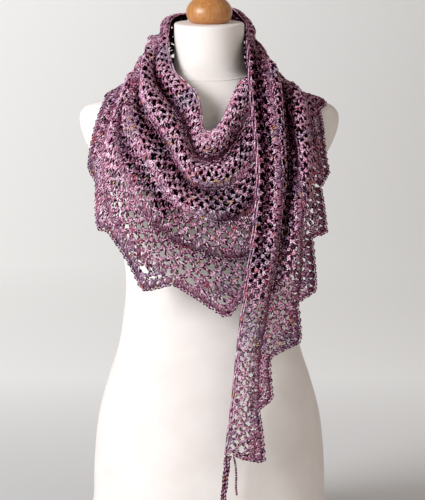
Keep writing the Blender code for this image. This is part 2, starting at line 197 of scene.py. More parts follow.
def yarn_material(name):
    made, tree, shader = new_material(name)
    place = node(tree, "ShaderNodeTexCoord", {})
    length = node(tree, "ShaderNodeAttribute", {}, attribute_type="GEOMETRY", attribute_name="yarn")
    lit = node(tree, "ShaderNodeAttribute", {}, attribute_type="GEOMETRY", attribute_name="lit")
    dye = node(tree, "ShaderNodeTexNoise", {"W": (length, "Fac"), "Scale": 1 / DYE_STEP,
                                            "Detail": 2.0, "Roughness": 0.6}, noise_dimensions="1D")
    dye_wide = node(tree, "ShaderNodeMapRange", {"Value": (dye, "Fac"), "From Min": 0.33,
                                                 "From Max": 0.66})
    plum = node(tree, "ShaderNodeValToRGB", {"Fac": (dye_wide, "Result")}, YARN_STOPS)
    slate = node(tree, "ShaderNodeValToRGB", {"Fac": (dye_wide, "Result")}, SLATE_STOPS)
    patch = node(tree, "ShaderNodeTexNoise", {"Vector": (place, "Object"),
                                              "Scale": noise_scale(PATCH), "Detail": 1.0})
    patch_wide = node(tree, "ShaderNodeMapRange", {"Value": (patch, "Fac"), "From Min": 0.48,
                                                   "From Max": 0.66, "To Max": 0.7})
    both = node(tree, "ShaderNodeMix", {"Factor": (patch_wide, "Result"),
                                        MIX_FIRST: (plum, "Color"),
                                        MIX_SECOND: (slate, "Color")}, data_type="RGBA")
    fleck = node(tree, "ShaderNodeTexNoise", {"W": (length, "Fac"), "Scale": 1 / FLECK_STEP,
                                              "Detail": 0.0}, noise_dimensions="1D")
    fleck_wide = node(tree, "ShaderNodeMapRange", {"Value": (fleck, "Fac"), "From Min": 0.46,
                                                   "From Max": 0.60, "To Max": 0.85})
    spot = node(tree, "ShaderNodeTexNoise", {"Vector": (place, "Object"),
                                             "Scale": noise_scale(FLECK_SPOT), "Detail": 1.0})
    spot_wide = node(tree, "ShaderNodeMapRange", {"Value": (spot, "Fac"), "From Min": 0.56,
                                                  "From Max": 0.65})
    flecked = node(tree, "ShaderNodeMath", {0: (fleck_wide, "Result"), 1: (spot_wide, "Result")},
                   operation="MULTIPLY")
    fleck_hue = node(tree, "ShaderNodeValToRGB", {"Fac": (patch, "Fac")}, FLECK_STOPS)
    yarn = node(tree, "ShaderNodeMix", {"Factor": (flecked, "Value"), MIX_FIRST: (both, MIXED),
                                        MIX_SECOND: (fleck_hue, "Color")}, data_type="RGBA")
    # Painted shade: the dyed colour is multiplied by a ramp of `lit`, dark at the low points of each
    # stitch and fold.
    shade = node(tree, "ShaderNodeValToRGB", {"Fac": (lit, "Fac")}, LIT_STOPS)
    dark = node(tree, "ShaderNodeMix", {"Factor": 1.0, MIX_FIRST: (yarn, MIXED),
                                        MIX_SECOND: (shade, "Color")},
                data_type="RGBA", blend_type="MULTIPLY")
    ply = node(tree, "ShaderNodeTexNoise", {"Vector": (place, "Object"),
                                            "Scale": noise_scale(PLY), "Detail": 2.0})
    bump = node(tree, "ShaderNodeBump", {"Height": (ply, "Fac"), "Strength": 0.5,
                                         "Distance": 0.0006})
    # Painted shade on the gloss too: the specular level falls with `lit`.
    gloss = node(tree, "ShaderNodeMapRange", {"Value": (lit, "Fac"), "From Min": 0.70,
                                              "From Max": 1.0, "To Max": 1.0})
    feed(tree, shader, {"Base Color": (dark, MIXED), "Normal": (bump, "Normal"),
                        "Specular IOR Level": (gloss, "Result"), "Roughness": 0.5, "IOR": 1.5,
                        "Metallic": 0.0})
    return made


dyed_and_shaded_yarn = yarn_material("wool yarn, plied, hand-dyed, with painted shade")
print("yarn material:", len(dyed_and_shaded_yarn.node_tree.nodes), "nodes")

# %% [markdown]
# ### Cotton jersey
#
# Jersey is a fine knit of tiny columns and rows. It gives the eye a matt, slightly downy surface,
# so the roughness is high and there is a little sheen. Two crossed waves make its bump. A real
# form's cover has columns about 0.7 mm apart. They are drawn somewhat coarser here, so that they
# show. Slight clouds in the tone stand for handling.

# %% Jersey
JERSEY_COLUMN = 1.1     # mm between the columns of stitches
JERSEY_ROW = 0.8
HANDLED = 60.0          # mm across a cloud in the tone


def jersey_material():
    made, tree, shader = new_material("cotton jersey, fine knit")
    place = node(tree, "ShaderNodeTexCoord", {})
    cloud = node(tree, "ShaderNodeTexNoise", {"Vector": (place, "Object"),
                                              "Scale": noise_scale(HANDLED), "Detail": 3.0})
    tone = node(tree, "ShaderNodeValToRGB", {"Fac": (cloud, "Fac")},
                [(0.3, "#EBE3DD"), (0.7, "#F3EDE8")])
    rows, columns = (
        node(tree, "ShaderNodeTexWave", {"Vector": (place, "Object"), "Scale": wave_scale(period),
                                         "Distortion": 1.0}, wave_type="BANDS", bands_direction=way)
        for way, period in (("Z", JERSEY_ROW), ("X", JERSEY_COLUMN)))
    knit = node(tree, "ShaderNodeMath", {0: (rows, "Fac"), 1: (columns, "Fac")},
                operation="MULTIPLY")
    bump = node(tree, "ShaderNodeBump", {"Height": (knit, "Value"), "Strength": 0.25,
                                         "Distance": 0.0004})
    feed(tree, shader, {"Base Color": (tone, "Color"), "Normal": (bump, "Normal"),
                        "Roughness": 0.9, "IOR": 1.45, "Sheen Weight": 0.15})
    return made


jersey = jersey_material()
print("jersey:", len(jersey.node_tree.nodes), "nodes")

# %% [markdown]
# ### Varnished beech
#
# The knob is turned on a lathe from one piece, so its grain runs up it, and the eye sees fine
# upright streaks under a soft shine. A noise whose space is squeezed twentyfold along the grain
# draws the streaks. The varnish is a thin clear coat over wood of middling roughness, which the
# open pores vary a little.

# %% Beech
GRAIN = 2.6             # mm between the streaks of the wood
ALONG_GRAIN = 0.05      # the streaks are one over this longer than they are wide
PORE = 1.2              # mm across a cluster of pores


def wood_material():
    made, tree, shader = new_material("beech, turned and varnished")
    place = node(tree, "ShaderNodeTexCoord", {})
    long = node(tree, "ShaderNodeMapping", {"Vector": (place, "Object"),
                                            "Scale": (1, 1, ALONG_GRAIN)})
    grain = node(tree, "ShaderNodeTexNoise", {"Vector": (long, "Vector"),
                                              "Scale": noise_scale(GRAIN), "Detail": 3.0})
    tone = node(tree, "ShaderNodeValToRGB", {"Fac": (grain, "Fac")},
                [(0.30, "#A96C36"), (0.50, "#B97C42"), (0.70, "#C68C50")])
    pores = node(tree, "ShaderNodeTexNoise", {"Vector": (place, "Object"),
                                              "Scale": noise_scale(PORE)})
    rough = node(tree, "ShaderNodeMapRange", {"Value": (pores, "Fac"), "To Min": 0.34,
                                              "To Max": 0.48})
    feed(tree, shader, {"Base Color": (tone, "Color"), "Roughness": (rough, "Result"),
                        "IOR": 1.5, "Coat Weight": 0.5, "Coat Roughness": 0.28})
    return made


wood = wood_material()
print("wood:", len(wood.node_tree.nodes), "nodes")

# %% [markdown]
# ### Wall paint
#
# Matt emulsion paint is very rough, and shows no reflection. The wall stands several metres
# behind the form, where the lamps are weak, so the paint has painted daylight: a glow that grows
# towards the back, stronger on the left, the window's side, than on the right.

# %% Wall paint
GLOW = 0.56             # how much the wall glows
GLOWS_FROM, GLOWS_FULLY = 0.0, 1.6      # metres behind the form
GLOW_LEFT, GLOW_RIGHT = 1.28, 0.64      # shares of the glow a metre to each side


def wall_material():
    made, tree, shader = new_material("matt wall paint with painted daylight")
    place = node(tree, "ShaderNodeTexCoord", {})
    apart = node(tree, "ShaderNodeSeparateXYZ", {"Vector": (place, "Object")})
    # Painted daylight: the glow grows with the distance behind the form and is stronger on the left.
    far = node(tree, "ShaderNodeMapRange", {"Value": (apart, "Y"), "From Min": GLOWS_FROM,
                                            "From Max": GLOWS_FULLY, "To Max": GLOW})
    side = node(tree, "ShaderNodeMapRange", {"Value": (apart, "X"), "From Min": -1.0,
                                             "From Max": 1.0, "To Min": GLOW_LEFT,
                                             "To Max": GLOW_RIGHT})
    both = node(tree, "ShaderNodeMath", {0: (far, "Result"), 1: (side, "Result")},
                operation="MULTIPLY")
    feed(tree, shader, {"Base Color": colour("#DBDBDA"), "Emission Color": colour("#DBDBDA"),
                        "Emission Strength": (both, "Value"), "Roughness": 0.95})
    return made


painted_daylight_and_wall_paint = wall_material()
print("wall paint:", len(painted_daylight_and_wall_paint.node_tree.nodes), "nodes")

# %% [markdown]
# ## Mesh helpers
#
# A mesh is a list of points and a list of faces. The helpers below work in millimetres, smooth
# the shading, and parent each piece to the model's one body. `spline` runs a smooth curve through
# any table of numbers. Blender's own curve objects could do that too, but numpy gives thousands
# of points at once, which the crochet needs.


# %% Meshes
def mesh_piece(name, points, faces, material, ride=True):
    """points in millimetres; faces as an array of quads or a list of tuples."""
    mesh = bpy.data.meshes.new(name)
    points = np.asarray(points, float) * MM
    mesh.from_pydata(points.tolist(), [], [tuple(int(i) for i in f) for f in faces])
    mesh.update()
    mesh.shade_smooth()
    mesh.materials.append(material)
    made = bpy.data.objects.new(name, mesh)
    scene.collection.objects.link(made)
    if ride:
        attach(made, "root")
    return made


def ring_faces(rows, count):
    """Quads between rings of points, each ring with count points."""
    i, j = np.meshgrid(np.arange(rows - 1), np.arange(count), indexing="ij")
    a = i * count + j
    b = i * count + (j + 1) % count
    return np.stack([a, b, b + count, a + count], axis=-1).reshape(-1, 4)


def capped_stack(name, rings, material):
    """Rings of points from bottom to top, joined by quads and closed at both ends."""
    count = rings.shape[1]
    faces = ring_faces(len(rings), count).tolist()
    faces.append(list(range(count))[::-1])
    top = (len(rings) - 1) * count
    faces.append([top + i for i in range(count)])
    return mesh_piece(name, rings.reshape(-1, 3), faces, material)


# %% Curves
def unit(vectors):
    return vectors / np.maximum(np.linalg.norm(vectors, axis=-1, keepdims=True), 1e-9)


def lengths_along(lines):
    """The length of each line up to each of its points; lines is an array: line, point, xyz."""
    steps = np.linalg.norm(np.diff(lines, axis=1), axis=2)
    return np.concatenate([np.zeros((len(lines), 1)), np.cumsum(steps, axis=1)], axis=1)


def spline(knots, values, at):
    """Smooth curve through values at knots, evaluated at many places."""
    knots = np.asarray(knots, float)
    values = np.asarray(values, float)
    at = np.clip(np.asarray(at, float), knots[0], knots[-1])
    gaps = np.diff(knots)
    shape = (-1,) + (1,) * (values.ndim - 1)
    slopes = np.diff(values, axis=0) / gaps.reshape(shape)
    tangents = np.empty_like(values)
    tangents[0], tangents[-1] = slopes[0], slopes[-1]
    left, right = gaps[:-1].reshape(shape), gaps[1:].reshape(shape)
    tangents[1:-1] = (slopes[:-1] * right + slopes[1:] * left) / (left + right)
    cell = np.clip(np.searchsorted(knots, at, side="right") - 1, 0, len(gaps) - 1)
    wide = gaps[cell]
    t = (at - knots[cell]) / wide
    shape = t.shape + (1,) * (values.ndim - 1)
    t, wide = t.reshape(shape), wide.reshape(shape)
    return ((2 * t**3 - 3 * t**2 + 1) * values[cell] + (t**3 - 2 * t**2 + t) * wide * tangents[cell]
            + (3 * t**2 - 2 * t**3) * values[cell + 1] + (t**3 - t**2) * wide * tangents[cell + 1])


def smooth_step(x):
    x = np.clip(x, 0.0, 1.0)
    return x * x * (3 - 2 * x)


print("halfway up a smooth step:", smooth_step(0.5))

# %% [markdown]
# ## The backdrop
#
# A floor that curves up into a wall: a profile swept sideways. The wall stands far back, so that
# a camera can walk round behind the form and still look at it. It isn't part of the object, so it
# isn't attached to the form's body.

# %% Backdrop
FLOOR_FRONT, WALL_BACK, CURVE, WALL_TOP, SIDE = -3500.0, 5600.0, 1200.0, 3000.0, 4200.0
turns = np.linspace(0, math.pi / 2, 12)
profile = [(FLOOR_FRONT, 0.0)]
profile += [(WALL_BACK - CURVE + CURVE * math.sin(t), CURVE - CURVE * math.cos(t)) for t in turns]
profile += [(WALL_BACK, WALL_TOP)]
sweep = [(x, y, z) for y, z in profile for x in (-SIDE, SIDE)]
strips = [(2 * i, 2 * i + 1, 2 * i + 3, 2 * i + 2) for i in range(len(profile) - 1)]
backdrop = mesh_piece("backdrop", sweep, strips, painted_daylight_and_wall_paint, ride=False)
print("backdrop:", len(strips), "strips")

# %% [markdown]
# ## The dress form
#
# The torso is a stack of horizontal sections. Each section is a superellipse, a rounded shape
# between an ellipse and a rectangle, with its own depth in front and behind. A smooth curve joins
# the sections, and two soft swells make the bust. Up the neck the sections slope more and more
# down to the front, like a real neck's.

# %% Torso surface
NECK_TOP = 785.0
NECK_SLOPE = 0.13       # the flat top drops this many mm for each mm forward
NECK_BENDS = 735.0      # height from which the sections slope
KNOB_AXIS_Y = -3.0      # the neck's middle stands this far forward of the torso's
FORM_SECTIONS = [
    # height, half width, depth in front, depth behind, power: 2 is an ellipse, more is squarer
    # z,    half, front, back, square
    (0.0, 169, 112, 112, 2.2),
    (6.0, 173, 115, 115, 2.2),
    (75.0, 177, 118, 124, 2.2),
    (135.0, 175, 117, 127, 2.2),
    (190.0, 169, 112, 120, 2.2),
    (247.0, 154, 104, 104, 2.15),
    (293.0, 139, 96, 91, 2.1),
    (345.0, 130.5, 89, 82, 2.1),
    (385.0, 127, 88, 78, 2.1),
    (430.0, 130, 94, 80, 2.15),
    (490.0, 142, 112, 88, 2.2),
    (540.0, 155, 122, 96, 2.25),
    (583.0, 175, 108, 101, 2.3),
    (608.0, 188, 93, 101, 2.4),
    (630.0, 195, 80, 98, 2.5),
    (645.0, 196, 73, 94, 2.5),
    (655.0, 192, 68, 90, 2.4),
    (662.0, 184, 66, 86, 2.35),
    (667.5, 170, 64, 82, 2.3),
    (673.0, 150, 62, 77, 2.25),
    (680.0, 125, 59, 71, 2.2),
    (688.0, 100, 56, 65, 2.1),
    (697.0, 79, 53, 59, 2.0),
    (709.0, 61, 51.5, 54, 2.0),
    (722.0, 55, 52, 52, 2.0),
    (750.0, 53, 53, 50, 2.0),
    (NECK_TOP, 53, 55, 49, 2.0),
]
BUST_RISE, BUST_X, BUST_Z, BUST_WIDE, BUST_HIGH = 14.0, 75.0, 546.0, 42.0, 48.0
SECTION = np.array(FORM_SECTIONS)


def form_section(z):
    """Half width, depths and power of the section at height z."""
    return spline(SECTION[:, 0], SECTION[:, 1:], z)


def bust(x, z):
    """How far the padding swells forward."""
    side = (np.abs(x) - BUST_X) / BUST_WIDE
    up = (z - BUST_Z) / BUST_HIGH
    return BUST_RISE * np.exp(-side**2 - up**2)


def form_point(z, turn, inset=0.0):
    """Points of the torso's surface at height z and angle turn round it."""
    half, front, back, square = np.moveaxis(form_section(z), -1, 0)
    c, s = np.cos(turn), np.sin(turn)
    x = (half - inset) * np.sign(c) * np.abs(c)**(2 / square)
    depth = np.where(s < 0, front + bust(x, z), back) - inset
    y = depth * np.sign(s) * np.abs(s)**(2 / square)
    return np.stack([x, y, np.broadcast_to(z, x.shape)], axis=-1)


def sloped(points):
    """Tips the neck's sections forward, more and more up to its top."""
    share = smooth_step((points[..., 2] - NECK_BENDS) / (NECK_TOP - NECK_BENDS))
    lift = NECK_SLOPE * share * (points[..., 1] - KNOB_AXIS_Y)
    return points + lift[..., None] * (0, 0, 1)


print("torso sections:", len(FORM_SECTIONS))

# %% Torso mesh
FORM_TURNS = 120
RIM = 3.5               # rounding of the neck's top edge
RIM_RINGS = 6
FORM_STEP = 5.0         # mm of height between rings
SHOULDER_LOW, SHOULDER_HIGH, SHOULDER_STEP = 640.0, 730.0, 2.0      # closer rings there
BASE_EDGE, BASE_INSET = 0.6, 2.0        # height and width of the base's small bevel
TOP_INSET = 20.0        # inset of the last ring, on the neck's flat top


def form_torso():
    turn = np.arange(FORM_TURNS) * 2 * math.pi / FORM_TURNS
    heights = np.unique(np.concatenate([np.arange(0, SHOULDER_LOW, FORM_STEP),
                                        np.arange(SHOULDER_LOW, SHOULDER_HIGH, SHOULDER_STEP),
                                        np.arange(SHOULDER_HIGH, NECK_TOP - RIM, FORM_STEP)]))
    heights[0] = BASE_EDGE
    rings = [form_point(0.0, turn, inset=BASE_INSET)]
    rings += [form_point(z, turn) for z in heights]
    for angle in np.linspace(0, math.pi / 2, RIM_RINGS):
        z = NECK_TOP - RIM + RIM * math.sin(angle)
        rings.append(form_point(z, turn, inset=RIM * (1 - math.cos(angle))))
    rings.append(form_point(NECK_TOP, turn, inset=TOP_INSET))
    return capped_stack("dress_form", sloped(np.array(rings)), jersey)


dress_form = form_torso()
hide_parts("form_torso")
print("torso:", len(dress_form.data.polygons), "faces")

# %% [markdown]
# ## The neck seam
#
# Where the neck's cover meets the torso's there is a narrow rolled seam. It follows the surface
# all round, higher at the back and at one side, as hand-pinned covers are.

# %% Neck seam
SEAM_FRONT_Z, SEAM_BACK_Z, SEAM_SIDE_RISE, SEAM_RADIUS = 698.0, 706.0, 7.0, 0.9
SEAM_TURNS, SEAM_SIDES = 120, 6


def neck_seam():
    turn = np.linspace(0, 2 * math.pi, SEAM_TURNS, endpoint=False)
    height = (SEAM_FRONT_Z + SEAM_BACK_Z) / 2 + (SEAM_BACK_Z - SEAM_FRONT_Z) / 2 * np.sin(turn)
    height = height + SEAM_SIDE_RISE * np.clip(np.cos(turn), 0, 1)**2
    line = form_point(height, turn)
    away = line * (1, 1, 0)
    away /= np.linalg.norm(away, axis=1, keepdims=True)
    up = away * -0.3 + np.array([0, 0, 0.7])
    rings = [line + SEAM_RADIUS * (away * math.cos(angle) + up * math.sin(angle))
             for angle in np.linspace(0, 2 * math.pi, SEAM_SIDES, endpoint=False)]
    points = np.array(rings).reshape(-1, 3)
    faces = ring_faces(SEAM_SIDES + 1, SEAM_TURNS) % len(points)
    return mesh_piece("neck_seam", points, faces, jersey)


seam = neck_seam()
print("neck seam:", len(seam.data.polygons), "faces")

# %% [markdown]
# ## The turned knob
#
# A lathe shape: heights and radii on a smooth curve, turned round an axis that stands square on
# the neck's sloping top.

# %% Knob
KNOB_SECTIONS = [
    # z,    radius
    (785.3, 26.5),
    (787.5, 29.8),
    (791.0, 32.4),
    (797.0, 34.6),
    (804.0, 34.8),
    (811.0, 32.3),
    (817.0, 27.5),
    (822.0, 22.5),
    (829.0, 18.5),
    (836.0, 17.2),
    (843.0, 18.6),
    (849.0, 19.0),
    (854.0, 16.5),
    (857.0, 10.5),
    (858.0, 0.2),
]

KNOB_RINGS, KNOB_TURNS = 90, 72


def turned_knob():
    table = np.array(KNOB_SECTIONS)
    along = np.arange(len(table), dtype=float)
    fine = spline(along, table, np.linspace(0, len(table) - 1, KNOB_RINGS))
    turn = np.arange(KNOB_TURNS) * 2 * math.pi / KNOB_TURNS
    lean = math.atan(NECK_SLOPE)
    up = fine[:, 0:1] - fine[0, 0]
    depth = fine[:, 1:2] * np.sin(turn)
    rings = np.stack([fine[:, 1:2] * np.cos(turn),
                      KNOB_AXIS_Y + depth * math.cos(lean) - up * math.sin(lean),
                      fine[0, 0] + up * math.cos(lean) + depth * math.sin(lean)], axis=-1)
    return capped_stack("wooden_knob", rings, wood)


knob = turned_knob()
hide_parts("form_knob")
print("knob:", len(knob.data.polygons), "faces")

# %% [markdown]
# ## The shawl's surface
#
# The shawl is one long triangle of cloth. Ribs cross it from its straight inner edge to its
# saw-tooth outer edge, in the order in which the cloth is wound: from under the tail, across the
# front, over one shoulder, round the back of the neck, over the other shoulder and down as the
# tail. Each rib is a cubic Bezier curve, and a spline joins the ribs. A cloth simulation could
# drop a flat triangle on the form, but it wouldn't land in the folds of this one. Ribs place each
# fold where it is.

# %% Ribs
RIBS = [
    # mm; out and up move the curve's two handles outwards from the neck and upwards
    # name,               inner x,  y,   z,   outer x,  y,   z,   out0, up0, out3, up3
    ("right end",            77,  -33, 702,    150,  -68, 620,     9,   0,  10,   0),
    ("under the tail",       47,  -68, 698,    127, -120, 466,    24,   0,  30,   0),
    ("beside the tail",      12, -109, 631,     45, -142, 382,    12,   0,  14,   0),
    ("front notch",          -6, -113, 626,    -54, -142, 405,    10,   0,  10,   0),
    ("side notch",          -18,  -90, 679,   -148, -122, 481,    16,   0,  10,   0),
    ("arm notch",           -49,  -55, 709,   -166,  -92, 552,    16,  18,  14,   4),
    ("left shoulder",       -62,    0, 775,   -145,   -8, 682,   -22,  46, -40,  -2),
    ("behind left shoulder", -60,  28, 786,   -149,   71, 665,   -28,  54, -28,   0),
    ("left shoulder blade", -52,   52, 794,   -146,   87, 600,    -8,  76,   6,   0),
    ("middle back",           0,   74, 800,      0,  116, 540,     0, 102,   6,   0),
    ("right shoulder blade", 37,   62, 805,    131,   93, 560,   -14,  88,  12,   0),
    ("behind the shoulder",  55,   28, 785,    158,   73, 651,   -34,  52, -24,   0),
    ("right shoulder",       55,    4, 771,    157,    0, 672,   -24,  28, -52,  -8),
    ("front of shoulder",    55,  -45, 747,    163,  -47, 657,    -3,   8, -22,  -4),
    ("collar bone",          60,  -98, 668,    163,  -88, 604,     8,   6,   4,   0),
    ("tail bust",            68, -144, 563,    162, -124, 543,     6,   0,   6,   0),
    ("tail ribs",            62, -157, 484,    149, -140, 474,     5,   0,   4,   0),
    ("tail waist",           49, -158, 383,    127, -147, 377,     3,   0,   3,   0),
    ("tail hip",             40, -157, 303,     88, -151, 297,     2,   0,   2,   0),
    ("tail low",             32, -155, 225,     71, -151, 220,     1,   0,   1,   0),
    ("tail end",             23, -152, 154,     39, -150, 150,     0,   0,   0,   0),
]
RIB = np.array([row[1:] for row in RIBS], float)
SHAWL_END = 20.0        # number of the last rib
print("ribs:", len(RIBS))

# %% [markdown]
# ### Teeth
#
# Along the outer edge the cloth grows into points, one at a time. Each tooth rises steadily to its
# tip and drops back to the next notch, some with a hollow flank. Places are counted in ribs: 4.19
# is a little past rib 4. Reach is how far the tip stands out, in millimetres, and droop is how far
# it sinks.

# %% Teeth
TEETH = [
    # starts, tip,   ends,  reach, droop, hollow
    (0.0,   0.30,  1.0,   16,    0,   1.0),
    (1.0,   1.25,  2.0,   24,    0,   1.0),
    (2.0,   2.22,  3.0,   29,    0,   1.6),
    (3.0,   3.30,  4.0,   31,    0,   2.9),
    (4.0,   4.19,  5.0,   14,    0,   1.0),
    (5.0,   5.24,  6.0,   23,    0,   0.8),
    (6.0,   6.60,  7.0,   14,    0,   0.9),
    (7.0,   7.35,  8.0,   18,    0,   1.0),
    (8.0,   8.25,  8.7,   20,    0,   1.0),
    (8.7,   9.00,  9.4,   20,    0,   1.0),
    (9.4,   9.80, 10.2,   20,    0,   1.0),
    (10.2, 10.70, 11.3,   18,    0,   1.0),
    (11.7, 12.50, 13.0,   16,    0,   0.9),
    (13.0, 14.50, 15.0,   14,    4,   1.0),
    (15.0, 15.90, 16.0,   22,    2,   1.0),
    (16.0, 16.79, 17.0,   22,    2,   1.0),
    (17.0, 17.66, 18.0,   34,    2,   1.1),
    (18.0, 18.74, 19.0,   16,    2,   1.0),
    (19.0, 19.88, 20.0,   39,   10,   1.1),
]
TOOTH_ROOT = 0.72       # share of the width from which a tooth pulls the cloth out
print("teeth:", len(TEETH))

# %% [markdown]
# ### Folds and creases
#
# A fold is a soft ridge, or a trough where its rise is negative, that runs along the shawl from
# one rib to another. It wanders across the width, given at its start, middle and end as shares of
# the width, and fades at both ends. Creases are narrower and shallower, and lie between the
# folds. Both are as uneven in length, depth and spacing as gathered cloth is. Both also carry
# painted shade on the yarn, darker in troughs and lighter on ridges, and a crease's painted shade
# is deeper for its depth than a fold's.

# %% Folds and creases
FOLDS = [
    # from,  to,   across: start, middle, end,  rise, width
    (0.3,   6.0,        0.07,  0.07,  0.07,   7.0,  0.055),
    (6.1,  12.0,        0.07,  0.08,  0.09,   4.0,  0.055),
    (1.0,   6.1,        0.165, 0.155, 0.16,  -8.0,  0.050),
    (6.1,  12.0,        0.16,  0.16,  0.17,  -4.0,  0.050),
    (1.4,   7.4,        0.28,  0.26,  0.25,  14.0,  0.060),
    (6.6,  10.8,        0.26,  0.30,  0.30,   8.0,  0.060),
    (1.6,   8.4,        0.375, 0.385, 0.40,  -9.0,  0.045),
    (2.0,   9.2,        0.48,  0.50,  0.52,  11.0,  0.055),
    (2.6,   8.8,        0.58,  0.62,  0.63,  -7.0,  0.045),
    (3.4,   8.4,        0.70,  0.74,  0.74,   8.0,  0.055),
    (1.3,   3.8,        0.80,  0.76,  0.70,  -4.0,  0.050),
    (12.0, 16.6,        0.18,  0.18,  0.20,  -6.0,  0.050),
    (12.1, 17.2,        0.34,  0.36,  0.36,  10.0,  0.080),
    (12.4, 16.6,        0.54,  0.53,  0.56,  -9.0,  0.050),
    (11.8, 17.0,        0.72,  0.72,  0.74,   9.0,  0.080),
    (16.2, 19.6,        0.20,  0.32,  0.60,   5.0,  0.100),
]
CREASES = [
    # from,  to,   across: start, middle, end,  rise, width
    (4.2,   7.9,        0.15,  0.105, 0.06,  -4.0,  0.030),
    (4.6,   7.6,        0.40,  0.37,  0.33,  -3.5,  0.025),
    (0.6,   2.6,        0.50,  0.52,  0.56,  -3.5,  0.030),
    (1.0,   4.6,        0.225, 0.215, 0.21,  -3.0,  0.022),
    (12.2, 15.0,        0.10,  0.10,  0.12,  -3.0,  0.025),
    (12.1, 16.4,        0.44,  0.45,  0.46,  -3.5,  0.025),
    (12.1, 15.4,        0.63,  0.62,  0.62,  -3.0,  0.022),
]
FOLD_FADE = 0.7         # ribs over which a fold rises and dies away
print("folds:", len(FOLDS), "creases:", len(CREASES))

# %% [markdown]
# ### From a place to a point
#
# A place along the shawl is counted in ribs, and a place across it is a share of its width. The
# functions below turn the two into a point in space. The ribs stand at unequal distances, so the
# spline runs on the length through the shawl's middle.


# %% Length along the shawl
def rib_points():
    """The four control points of each rib's Bezier curve."""
    inner, outer = RIB[:, 0:3], RIB[:, 3:6]
    third = (outer - inner) / 3

    def away(p):
        flat = p * (1, 1, 0)
        return flat / np.linalg.norm(flat, axis=1, keepdims=True)
    up = np.array([0, 0, 1.0])
    first = inner + third + away(inner) * RIB[:, 6:7] + up * RIB[:, 7:8]
    last = outer - third + away(outer) * RIB[:, 8:9] + up * RIB[:, 9:10]
    return np.stack([inner, first, last, outer], axis=1)


CONTROL = rib_points()
MIDDLE = CONTROL.mean(axis=1)
STATION = np.concatenate([[0], np.cumsum(np.linalg.norm(np.diff(MIDDLE, axis=0), axis=1))])


def station(place):
    """Millimetres through the shawl's middle up to a place that is counted in ribs."""
    return np.interp(place, np.arange(len(STATION)), STATION)


def place_of(length):
    """The place at so many millimetres."""
    return np.interp(length, STATION, np.arange(len(STATION)))


print(f"the shawl is {STATION[-1]:.0f} mm long through its middle")


# %% Reach of the teeth
def tooth_reach(place):
    """How far the teeth stand out at each place, and how far they sink."""
    reach = np.zeros_like(place)
    droop = np.zeros_like(place)
    for starts, tip, ends, out, down, hollow in TEETH:
        rise = np.clip((place - starts) / (tip - starts), 0, 1)
        fall = np.clip((ends - place) / (ends - tip), 0, 1)
        peak = np.minimum(rise, fall**hollow)
        reach = np.maximum(reach, out * peak)
        droop = np.maximum(droop, down * peak)
    return reach, droop


print("reach of the tooth at rib 4.19:", tooth_reach(np.array([4.19]))[0])

# %% Even steps along a rib
STEPS = 40              # even steps of a rib's length


def rib_parameters():
    """A Bezier curve runs faster in its middle, so this finds its parameter at even lengths."""
    t = np.linspace(0, 1, 4 * STEPS + 1)
    weights = np.stack([(1 - t)**3, 3 * (1 - t)**2 * t, 3 * (1 - t) * t**2, t**3])
    rows = []
    for control in CONTROL:
        steps = np.linalg.norm(np.diff(weights.T @ control, axis=0), axis=1)
        run = np.concatenate([[0], np.cumsum(steps)])
        rows.append(np.interp(np.linspace(0, run[-1], STEPS + 1), run, t))
    return np.array(rows)


PARAMETER = rib_parameters()


def parameter(place, across):
    """The Bezier parameter that lies a share of the way across the cloth."""
    rib = np.clip(np.floor(place), 0, SHAWL_END - 1).astype(int)
    past = place - rib
    at = across * STEPS
    low = np.clip(np.floor(at), 0, STEPS - 1).astype(int)
    rest = at - low
    here = PARAMETER[rib, low] * (1 - rest) + PARAMETER[rib, low + 1] * rest
    after = PARAMETER[rib + 1, low] * (1 - rest) + PARAMETER[rib + 1, low + 1] * rest
    return here * (1 - past) + after * past


print("halfway along rib 0 the curve's parameter is", round(PARAMETER[0, STEPS // 2], 3))

# %% Cloth without folds
TOOTH_PULL = 1.6        # how suddenly a tooth's pull sets in towards the edge


def base_surface(place, across):
    """Points of the cloth before it is folded."""
    control = spline(STATION, CONTROL, station(place))
    t = parameter(place, across)[..., None]
    p0, p1, p2, p3 = (control[..., k, :] for k in range(4))
    p = (1 - t)**3 * p0 + 3 * (1 - t)**2 * t * p1 + 3 * (1 - t) * t**2 * p2 + t**3 * p3
    end = p3 - p2
    end = end / np.linalg.norm(end, axis=-1, keepdims=True)
    reach, droop = tooth_reach(place)
    pull = np.clip((across - TOOTH_ROOT) / (1 - TOOTH_ROOT), 0, 1)**TOOTH_PULL
    p = p + end * (reach * pull)[..., None]
    p[..., 2] -= droop * pull
    return p


halfway = np.array([4.0]), np.array([0.5])
print("halfway across at rib 4, unfolded:", base_surface(*halfway)[0].round(1))

# %% [markdown]
# ### Folds, and cloth that keeps clear of the form
#
# Each point moves out along the cloth's own normal by the rise of the folds there. The normal is
# the cross product of two short steps, one along the shawl and one across it. Cloth that would
# then sink into the form is pushed out until it lies on it.

# %% Folded cloth
CLEAR_OF_FORM = 2.9     # mm from the form to the middle of the cloth
PUSH_MOST = 12.0        # mm by which one step may push a point out
PUSHES = 4


def fold_rise(place, across, table):
    """How far the folds of a table lift each point, in millimetres."""
    total = np.zeros_like(place)
    for start, stop, first, middle, last, rise, width in table:
        along = (place - start) / (stop - start)
        centre = np.where(along < 0.5, first + (middle - first) * smooth_step(along * 2),
                          middle + (last - middle) * smooth_step(along * 2 - 1))
        fade = smooth_step((place - start) / FOLD_FADE) * smooth_step((stop - place) / FOLD_FADE)
        total = total + rise * fade * np.exp(-((across - centre) / width)**2)
    return total


